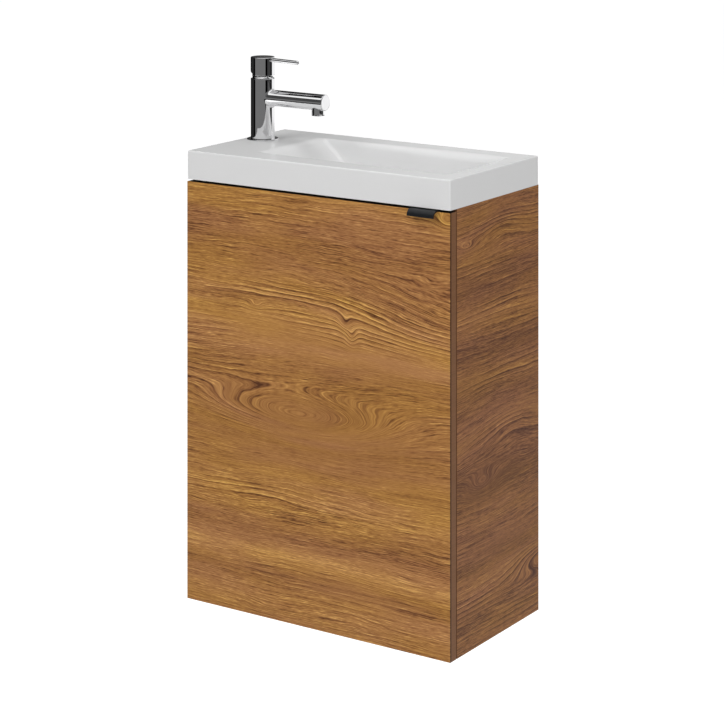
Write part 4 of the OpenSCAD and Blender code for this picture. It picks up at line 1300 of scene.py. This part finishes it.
@dataclass
class Tap(SubAssembly):
    """The lever mixer on the deck.

    Attributes:
        column_soft, ring_soft, cap_soft: Roundings of the column, the base ring and the end disc.
        ring_lap: How far the base ring goes under the column's skin.
        dome_bore: Radius of the hole in the neck's dome.
        dome_radius: Radius of the dome.
        dome_drop: How far the dome's centre is below the head.
        arc_steps: Parts of the dome's arc.
        head_gap: Space between the dome and the head.
        head_soft, head_foot_soft: Roundings of the head's upper and lower edge.
        head_cut_deg: Slope of the head's rear lower edge.
        lever_tilt_deg: How far the lever leans down.
        lever_end: Rounding of the lever's end, as a share of its radius.
        lever_steps: Parts round the lever.
        fillet: Size of the fillet between the spout and the column.
        fillet_sink: How deep its first ring is below the column's surface.
        fillet_trim: How much smaller that ring is.
        spout_root: Where the spout starts inside the column, as a share of the column's radius.
        spout_waist: Its size there, as a share of its radius.
        fillet_end: Where the plain tube starts beyond the column, in fillets.
        spout_steps, fillet_steps: Parts round the spout and along its fillet.
        tip_ring: Distance of the last ring but one from the spout's tip.
        groove, groove_soft: Width and depth of the groove before the end disc, and its rounding.
        scallops: Number of scallops round the aerator's rim.
        scallop_depth: Their depth, as a share of its radius.
        scallop_height: Their height.
        shell_gap: Space between the aerator's shell and its insert.
        shell_guard: Distance of the plain ring above the scallops.
        shell_soft: Rounding of the shell's lower edge.
        shell_top: Height of the shell's top below the spout's axis, as a share of its radius.
        shell_steps: Parts round the shell.
        soft_steps, lever_soft_steps, shell_soft_steps: Parts in the roundings.
        steps: Parts round the other turned pieces.
    """

    label: str = "tap"
    dressed: Dressing = (
        (BRASS, ("cartridge_stem", "stem_carrier", "tap_stud_nut")),
        (INSERT_GREY, ("aerator_insert", "tap_cartridge")),
        (SEAL_BLACK, ("tap_base_seal",)),
        (ZINC, ("tap_stud", "tap_clamp_washers")),
        (DARK_STEEL, ("head_grub_screw",)),
    )
    column_soft: float = 0.5 * MM
    ring_soft: float = 0.8 * MM
    cap_soft: float = 0.8 * MM
    ring_lap: float = 0.5 * MM
    dome_bore: float = 9.5 * MM
    dome_radius: float = 14.0 * MM
    dome_drop: float = 0.3 * MM
    arc_steps: int = 24
    head_gap: float = 0.8 * MM
    head_soft: float = 1.0 * MM
    head_foot_soft: float = 0.3 * MM
    head_cut_deg: float = 24.0
    lever_tilt_deg: float = 1.5
    lever_end: float = 0.96
    lever_steps: int = 64
    fillet: float = 2.4 * MM
    fillet_sink: float = 1.2 * MM
    fillet_trim: float = 0.4 * MM
    fillet_end: float = 2.5
    spout_root: float = 0.3
    spout_waist: float = 0.9
    spout_steps: int = 96
    fillet_steps: int = 8
    tip_ring: float = 1.0 * MM
    groove: float = 0.25 * MM
    groove_soft: float = 0.15 * MM
    scallops: int = 22
    scallop_depth: float = 0.03
    scallop_height: float = 1.6 * MM
    shell_gap: float = 0.1 * MM
    shell_guard: float = 0.1 * MM
    shell_soft: float = 0.4 * MM
    shell_top: float = 0.55
    shell_steps: int = 176
    soft_steps: int = 5
    lever_soft_steps: int = 12
    shell_soft_steps: int = 4
    steps: int = 128

    def __post_init__(self) -> None:
        """Reads the tap's place and sizes from the frame."""
        self.body_low, self.body_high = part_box("tap_body")
        self.axis = middle("tap_body")
        self.column = (self.body_high.x - self.body_low.x) / 2
        spout_low, self.spout_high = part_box("tap_spout")
        self.spout_z = (spout_low.z + self.spout_high.z) / 2
        self.spout = (self.spout_high.z - spout_low.z) / 2
        self.head_low, self.head_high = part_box("tap_head")
        self.head = self.axis.x - self.head_low.x
        self.dome_centre = self.head_low.z - self.dome_drop
        self.upright = Matrix.Translation((self.axis.x, self.axis.y, 0))

    def turned(self, name: str, corners: Loop, radii: Sequence[float]) -> bpy.types.Object:
        """Turns a softened profile round the tap's axis."""
        return lathe(name, soften(corners, radii, self.soft_steps), self.upright, self.steps)

    def dome_arc(self, radius: float, foot: float, end: float) -> list[tuple[float, float]]:
        """Walks up a dome round the head's turning point.

        Args:
            radius: Radius of the dome.
            foot: Height at which it starts.
            end: Angle above the level at which it ends.

        Returns:
            Pairs of radius and height.
        """
        start = math.asin((foot - self.dome_centre) / radius)
        angles = [start + (end - start) * k / self.arc_steps for k in range(self.arc_steps + 1)]
        return [(radius * math.cos(a), self.dome_centre + radius * math.sin(a)) for a in angles]

    def make_column(self) -> bpy.types.Object:
        """Turns the column.

        Returns:
            The column.
        """
        low, high = self.body_low.z, self.body_high.z
        corners = radial((0, low), (self.column, low), (self.column, high), (0, high))
        return self.turned("tap_column", corners, [0, 0, self.column_soft, 0])

    def make_base_ring(self) -> bpy.types.Object:
        """Turns the ring at the column's foot.

        Returns:
            The ring.
        """
        low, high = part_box("tap_base_ring")
        inner, outer = self.column - self.ring_lap, (high.x - low.x) / 2
        corners = radial((inner, low.z), (outer, low.z), (outer, high.z), (inner, high.z))
        return self.turned("base_ring", corners, [0, 0, self.ring_soft, 0])

    def make_neck(self) -> bpy.types.Object:
        """Turns the bright dome that the head rocks on.

        Returns:
            The dome.
        """
        foot = self.body_high.z
        arc = self.dome_arc(self.dome_radius, foot, math.acos(self.dome_bore / self.dome_radius))
        return lathe("neck_dome", radial((self.dome_bore, foot), *arc), self.upright, self.steps)

    def make_head(self) -> bpy.types.Object:
        """Turns the head, hollow over the dome, and cuts its rear lower edge for the lever's lift.

        Returns:
            The head.
        """
        low, high, outer = self.head_low.z, self.head_high.z, self.head
        hollow = self.dome_radius + self.head_gap
        arc = self.dome_arc(hollow, low, math.pi / 2)[:-1]
        corners = radial((outer, low), (outer, high), (0, high), (0, self.dome_centre + hollow),
                         *reversed(arc))
        radii = [self.head_foot_soft, self.head_soft] + [0.0] * (len(corners) - 2)
        head = self.turned("tap_head_skin", corners, radii)
        turn = Matrix.Rotation(math.radians(self.head_cut_deg), 4, "Y")
        place = Matrix.Translation((self.axis.x, self.axis.y, self.dome_centre)) @ turn
        far = 3 * outer
        block = [place @ Vector((x, y, z)) for x in (-far, 0) for y in (-far, far) for z in (-far, 0)]
        sides = [(0, 1, 3, 2), (4, 6, 7, 5), (0, 4, 5, 1), (2, 3, 7, 6), (0, 2, 6, 4), (1, 5, 7, 3)]
        cut_away(head, mesh_object("head_cutter", block, sides))
        return head

    def make_lever(self) -> bpy.types.Object:
        """Turns the lever pin with its rounded end.

        Returns:
            The lever.
        """
        low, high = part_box("tap_lever")
        radius = (high.y - low.y) / 2
        tilt = math.radians(self.lever_tilt_deg)
        tip = (high.x - self.axis.x - self.head) / math.cos(tilt)
        face_z = low.z + radius * math.cos(tilt) + (tip - radius) * math.sin(tilt)
        place = (Matrix.Translation((self.axis.x + self.head, self.axis.y, face_z))
                 @ Matrix.Rotation(math.pi / 2 + tilt, 4, "Y"))
        root = low.x - self.axis.x - self.head
        corners = radial((0, root), (radius, root), (radius, tip), (0, tip))
        profile = soften(corners, [0, 0, radius * self.lever_end, 0], self.lever_soft_steps)
        return lathe("lever_pin", profile, place, self.lever_steps)

    def spout_ring(self, x_of: Callable[[float], float], radius: float) -> Loop:
        """Draws one ring round the spout.

        Args:
            x_of: Gives a point's distance from the tap's axis in X, by its distance in Y.
            radius: Radius of the ring.

        Returns:
            The ring's points.
        """
        made: Loop = []
        for k in range(self.spout_steps):
            angle = 2 * math.pi * k / self.spout_steps
            y, z = radius * math.cos(angle), radius * math.sin(angle)
            made.append(Vector((self.axis.x + x_of(y), self.axis.y + y, self.spout_z + z)))
        return made

    def make_spout(self) -> bpy.types.Object:
        """Lofts the spout, with a small fillet where it leaves the column.

        Returns:
            The spout.
        """
        def on_column(y: float) -> float:
            """Gives the place of the column's surface."""
            return math.sqrt(self.column ** 2 - y ** 2)

        wide = self.spout + self.fillet
        root, waist = self.column * self.spout_root, self.spout * self.spout_waist
        loops = [self.spout_ring(lambda y: root, waist),
                 self.spout_ring(lambda y: on_column(y) - self.fillet_sink, wide - self.fillet_trim)]
        start, bend = self.spout_ring(on_column, wide), self.spout_ring(on_column, self.spout)
        end = self.spout_ring(lambda y: on_column(y) + self.fillet, self.spout)
        for k in range(self.fillet_steps + 1):
            t = k / self.fillet_steps
            loops.append([a * (1 - t) ** 2 + b * 2 * t * (1 - t) + c * t ** 2
                          for a, b, c in zip(start, bend, end)])
        tip = self.spout_high.x - self.axis.x
        for x in (self.column + self.fillet_end * self.fillet, tip - self.tip_ring, tip):
            loops.append(self.spout_ring(lambda y, x=x: x, self.spout))
        return loft("spout_tube", loops, closed=False)

    def make_end_cap(self) -> bpy.types.Object:
        """Turns the spout's end disc, with the groove before it.

        Returns:
            The disc.
        """
        start, end = self.spout_high.x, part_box("spout_end_cap")[1].x
        inner, outer, ledge = self.spout - self.groove, self.spout, start + self.groove
        corners = radial((0, start), (inner, start), (inner, ledge), (outer, ledge), (outer, end),
                         (0, end))
        profile = soften(corners, [0, 0, 0, self.groove_soft, self.cap_soft, 0], self.soft_steps)
        turn = Matrix.Rotation(math.pi / 2, 4, "Y")
        place = Matrix.Translation((0, self.axis.y, self.spout_z)) @ turn
        return lathe("spout_end_disc", profile, place, self.steps)

    def make_aerator(self) -> bpy.types.Object:
        """Turns the aerator's shell, with small scallops round its lower rim.

        Returns:
            The shell.
        """
        low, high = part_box("aerator_shell")
        outer = (high.y - low.y) / 2
        bore = (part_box("aerator_insert")[1].y - self.axis.y) + self.shell_gap
        rim, top = low.z + self.scallop_height, self.spout_z - self.shell_top * self.spout

        def scalloped(angle: float, at: Vector) -> float:
            """Gives the share of the radius that is kept.

            Args:
                angle: Angle round the shell.
                at: The profile's point.

            Returns:
                Less than 1 in each scallop of the outer rim, else 1.
            """
            if at.z > rim or at.x < bore + 2 * self.shell_guard:
                return 1.0
            return 1 - self.scallop_depth * (0.5 - 0.5 * math.cos(self.scallops * angle))

        corners = radial((bore, low.z), (outer, low.z), (outer, rim), (outer, rim + self.shell_guard),
                         (outer, top), (bore, top))
        profile = soften(corners, [0, self.shell_soft, 0, 0, 0, 0], self.shell_soft_steps)
        place = Matrix.Translation(((low.x + high.x) / 2, self.axis.y, 0))
        return lathe("aerator_skirt", profile, place, self.shell_steps, scalloped)

    def make(self, rack: Rack) -> list[str]:
        """Makes the bright pieces, of which the head and the lever ride on the handle.

        Args:
            rack: The materials.

        Returns:
            The new pieces' names.
        """
        pieces = (
            ("cabinet", self.make_column(), "tap_body"),
            ("cabinet", self.make_base_ring(), "tap_base_ring"),
            ("cabinet", self.make_neck(), "cartridge_nut"),
            ("cabinet", self.make_spout(), "tap_spout"),
            ("cabinet", self.make_end_cap(), "spout_end_cap"),
            ("cabinet", self.make_aerator(), "aerator_shell"),
            ("tap_handle", self.make_head(), "tap_head"),
            ("tap_handle", self.make_lever(), "tap_lever"),
        )
        return [stand(body, piece, "chrome", rack.of(CHROME), node) for body, piece, node in pieces]


# Studio


@dataclass(frozen=True)
class CardRow:
    """A row of reflector cards.

    Attributes:
        base: Height of the row's lower edge.
        tones: Brightness by azimuth in degrees, from the front towards the right.
    """

    base: float
    tones: tuple[tuple[float, float], ...]


@dataclass(frozen=True)
class Lamp:
    """A soft square lamp that aims at the object.

    Attributes:
        name: Name of the lamp.
        azimuth_deg: Where it hangs, from the front towards the right.
        height_deg: How far above the object, as an angle.
        size: Length of its side.
        power: Its power in watts.
    """

    name: str
    azimuth_deg: float
    height_deg: float
    size: float
    power: float


@dataclass
class Studio(SubAssembly):
    """Camera, floor, lamps and reflector cards.

    Attributes:
        eye: Place of the camera.
        heading_deg: How far the camera turns left from looking straight at the wall.
        focal_px, horizon_px, frame_px: Focal length, height of the horizon and width of the frame,
            in pixels of the frame.
        sensor_mm: Width of the camera's sensor.
        view_end: How far the camera sees.
        floor_z, floor_half, floor_grey, floor_glow: The floor's height, half its side, its grey, and
            how much light it adds where the camera sees it.
        ambient: Grey of the light from all around.
        lamps, lamp_away, lamp_aim: The lamps, their distance, and the point they aim at.
        card_away, card_lift, card_top: Distance of the cards, the gap below them and their top.
        card_steps: Parts of their circle.
        card_blend: How fast one row goes over into the next, as a share for each metre.
        card_rows: The rows, from the floor up.
    """

    label: str = "studio"
    eye: Triple = (1.6759, -2.6221, 1.0757)
    heading_deg: float = 33.68
    focal_px: float = 2344.2
    horizon_px: float = -230.9
    frame_px: float = 724.0
    sensor_mm: float = 36.0
    view_end: float = 100.0
    floor_z: float = -0.27
    floor_half: float = 14.0
    floor_grey: float = 0.55
    floor_glow: float = 0.78
    ambient: float = 0.42
    lamps: tuple[Lamp, ...] = (
        Lamp("key_lamp", -20, 40, 1.8, 51.0),
        Lamp("fill_lamp", 60, 10, 2.4, 55.0),
        Lamp("top_lamp", 0, 86, 2.4, 43.0),
    )
    lamp_away: float = 4.0
    lamp_aim: Triple = (0, -0.1, 0.35)
    card_away: float = 2.5
    card_lift: float = 0.01
    card_top: float = 4.6
    card_steps: int = 180
    card_blend: float = 12.0
    card_rows: tuple[CardRow, ...] = (
        CardRow(0.14, ((-180, 1.0), (-146, 1.0), (-143, 0.0), (-92, 0.0), (-88, 0.025), (-62, 0.025),
                       (-58, 0.0), (-44, 0.0), (-40, 0.17), (56, 0.17), (59, 0.0), (76, 0.0),
                       (79, 0.05), (113, 0.05), (116, 0.0), (135, 0.0), (138, 1.0), (180, 1.0))),
        CardRow(0.76, ((-180, 0.6), (-150, 0.55), (-147, 0.3), (-143, 0.14), (-137, 0.02), (-100, 0.0),
                       (-50, 0.05), (-30, 0.06), (40, 0.15), (120, 0.1), (140, 0.8), (180, 0.7))),
        CardRow(2.3, ((-180, 0.5), (-148, 0.4), (-140, 0.0), (-62, 0.0), (-60, 1.0), (-44, 1.0),
                      (-42, 0.2), (60, 0.2), (180, 0.5))),
        CardRow(3.2, ((-180, 0.5), (-140, 0.0), (-124, 0.0), (-118, 0.3), (-112, 0.3), (-108, 0.0),
                      (-64, 0.0), (-60, 1.0), (-42, 1.0), (0, 0.5), (180, 0.5))),
    )

    def camera(self) -> None:
        """Places a level camera whose picture is shifted down, as in the photograph.

        The shift is held by a skewed parent matrix, so that the camera's own shift stays 0.
        """
        turn = math.radians(self.heading_deg)
        ahead = Vector((-math.sin(turn), math.cos(turn), 0))
        right = Vector((math.cos(turn), math.sin(turn), 0))
        drop = (self.frame_px / 2 - self.horizon_px) / self.focal_px
        axis = ahead - Vector((0, 0, 1)) * drop
        stretch = axis.length
        back = -axis / stretch
        data = bpy.data.cameras.new("camera")
        data.sensor_width = self.sensor_mm
        data.lens = self.sensor_mm * self.focal_px * stretch / self.frame_px
        data.clip_end = self.view_end
        camera, holder = link("camera", data), link("camera_holder", None)
        skew = Matrix(((right.x, 0, back.x, self.eye[0]), (right.y, 0, back.y, self.eye[1]),
                       (right.z, 1, back.z, self.eye[2]), (0, 0, 0, 1)))
        camera.parent = holder
        camera.matrix_parent_inverse = skew
        bpy.context.scene.camera = camera

    def seen_by(self, graph: Graph, *rays: str) -> bpy.types.NodeSocket:
        """Tells the rays that show a thing from those that carry its light to the object.

        Args:
            graph: The nodes of a material or world.
            *rays: Light Path's names for the rays that show it.

        Returns:
            1 for these rays, else 0.
        """
        path = graph.node("ShaderNodeLightPath")
        total: Source = 0.0
        for ray in rays:
            total = graph.math("ADD", total, path.outputs[f"Is {ray} Ray"], clamp=True)
        return total

    def world(self) -> None:
        """Makes the world, which shows white but gives plain grey light."""
        graph = Graph(bpy.data.worlds.new("studio_world"))
        shown = self.seen_by(graph, "Camera", "Glossy", "Transmission")
        tone = graph.mix(shown, (self.ambient,) * 3, (1.0, 1.0, 1.0))
        bpy.context.scene.world = graph.close(
            graph.node("ShaderNodeBackground", {"Color": tone, "Strength": 1.0}))

    def hang(self, lamp: Lamp) -> None:
        """Hangs a lamp, which is seen neither by the camera nor in reflections.

        Args:
            lamp: The lamp.
        """
        data = bpy.data.lights.new(lamp.name, "AREA")
        data.size = lamp.size
        data.energy = lamp.power
        made = link(lamp.name, data)
        turn, rise = math.radians(lamp.azimuth_deg), math.radians(lamp.height_deg)
        level = math.cos(rise)
        out = Vector((math.sin(turn) * level, -math.cos(turn) * level, math.sin(rise)))
        made.location = Vector(self.lamp_aim) + out * self.lamp_away
        made.rotation_euler = out.to_track_quat("Z", "Y").to_euler()
        made.visible_glossy = False
        made.visible_camera = False

    def floor(self) -> None:
        """Lays the pale floor, which shows white but keeps the object's shadow."""
        half, z = self.floor_half, self.floor_z
        corners = [Vector((x * half, y * half, z)) for x, y in ((-1, -1), (1, -1), (1, 1), (-1, 1))]
        piece = mesh_object("studio_floor", corners, [(0, 1, 2, 3)])
        graph = Graph(bpy.data.materials.new("pale_floor"))
        pale = graph.node("ShaderNodeBsdfDiffuse", {"Color": (self.floor_grey,) * 3})
        added = graph.math("MULTIPLY", self.seen_by(graph, "Camera", "Glossy"), self.floor_glow)
        glow = graph.node("ShaderNodeEmission", {"Color": (1.0, 1.0, 1.0), "Strength": added})
        both = graph.node("ShaderNodeAddShader", {0: pale.outputs[0], 1: glow.outputs[0]})
        piece.data.materials.append(graph.close(both))

    def surround(self) -> None:
        """Stands the reflector cards round the object: only its gloss sees them."""
        steps, away = self.card_steps, self.card_away
        points: Loop = []
        for z in (self.floor_z + self.card_lift, self.card_top):
            for k in range(steps):
                turn = 2 * math.pi * k / steps
                points.append(Vector((away * math.sin(turn), -away * math.cos(turn), z)))
        faces = [[k, (k + 1) % steps, steps + (k + 1) % steps, steps + k] for k in range(steps)]
        piece = mesh_object("reflector_cards", points, faces)
        graph = Graph(bpy.data.materials.new("reflector_cards"))
        x, y, z = graph.split(graph.node("ShaderNodeTexCoord").outputs["Object"])
        angle = graph.math("ARCTAN2", x, graph.math("MULTIPLY", y, -1.0))
        share = graph.math("MULTIPLY_ADD", angle, 0.5 / math.pi, 0.5)
        tone: Source = (0.0, 0.0, 0.0)
        for row in self.card_rows:
            row_tone = graph.ramp(share, [((azimuth + 180) / 360, grey) for azimuth, grey in row.tones])
            above = graph.math("SUBTRACT", z, row.base)
            tone = graph.mix(graph.math("MULTIPLY", above, self.card_blend, clamp=True), tone, row_tone)
        glow = graph.node("ShaderNodeEmission", {"Color": tone, "Strength": 1.0})
        piece.data.materials.append(graph.close(glow))
        for ray in ("camera", "diffuse", "transmission", "shadow", "volume_scatter"):
            setattr(piece, f"visible_{ray}", False)

    def make(self, rack: Rack) -> list[str]:
        """Sets up the studio, whose materials are its own.

        Args:
            rack: The materials of the object, which the studio doesn't need.

        Returns:
            The names of its pieces.
        """
        self.camera()
        self.world()
        self.floor()
        self.surround()
        for lamp in self.lamps:
            self.hang(lamp)
        return ["camera", "studio_floor", "reflector_cards", *(lamp.name for lamp in self.lamps)]


def main() -> None:
    """Builds the sub-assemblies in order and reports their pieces."""
    logging.basicConfig(level=logging.INFO, format="%(name)s %(message)s")
    bpy.context.scene.view_settings.view_transform = "Standard"
    rack = Rack()
    for part in (Studio(), Cabinet(), Door(), Hinges(), Basin(), Waste(), Tap()):
        for name in part.build(rack):
            LOG.info("%s: %s", part.label, name)


if __name__ == "__main__":
    main()
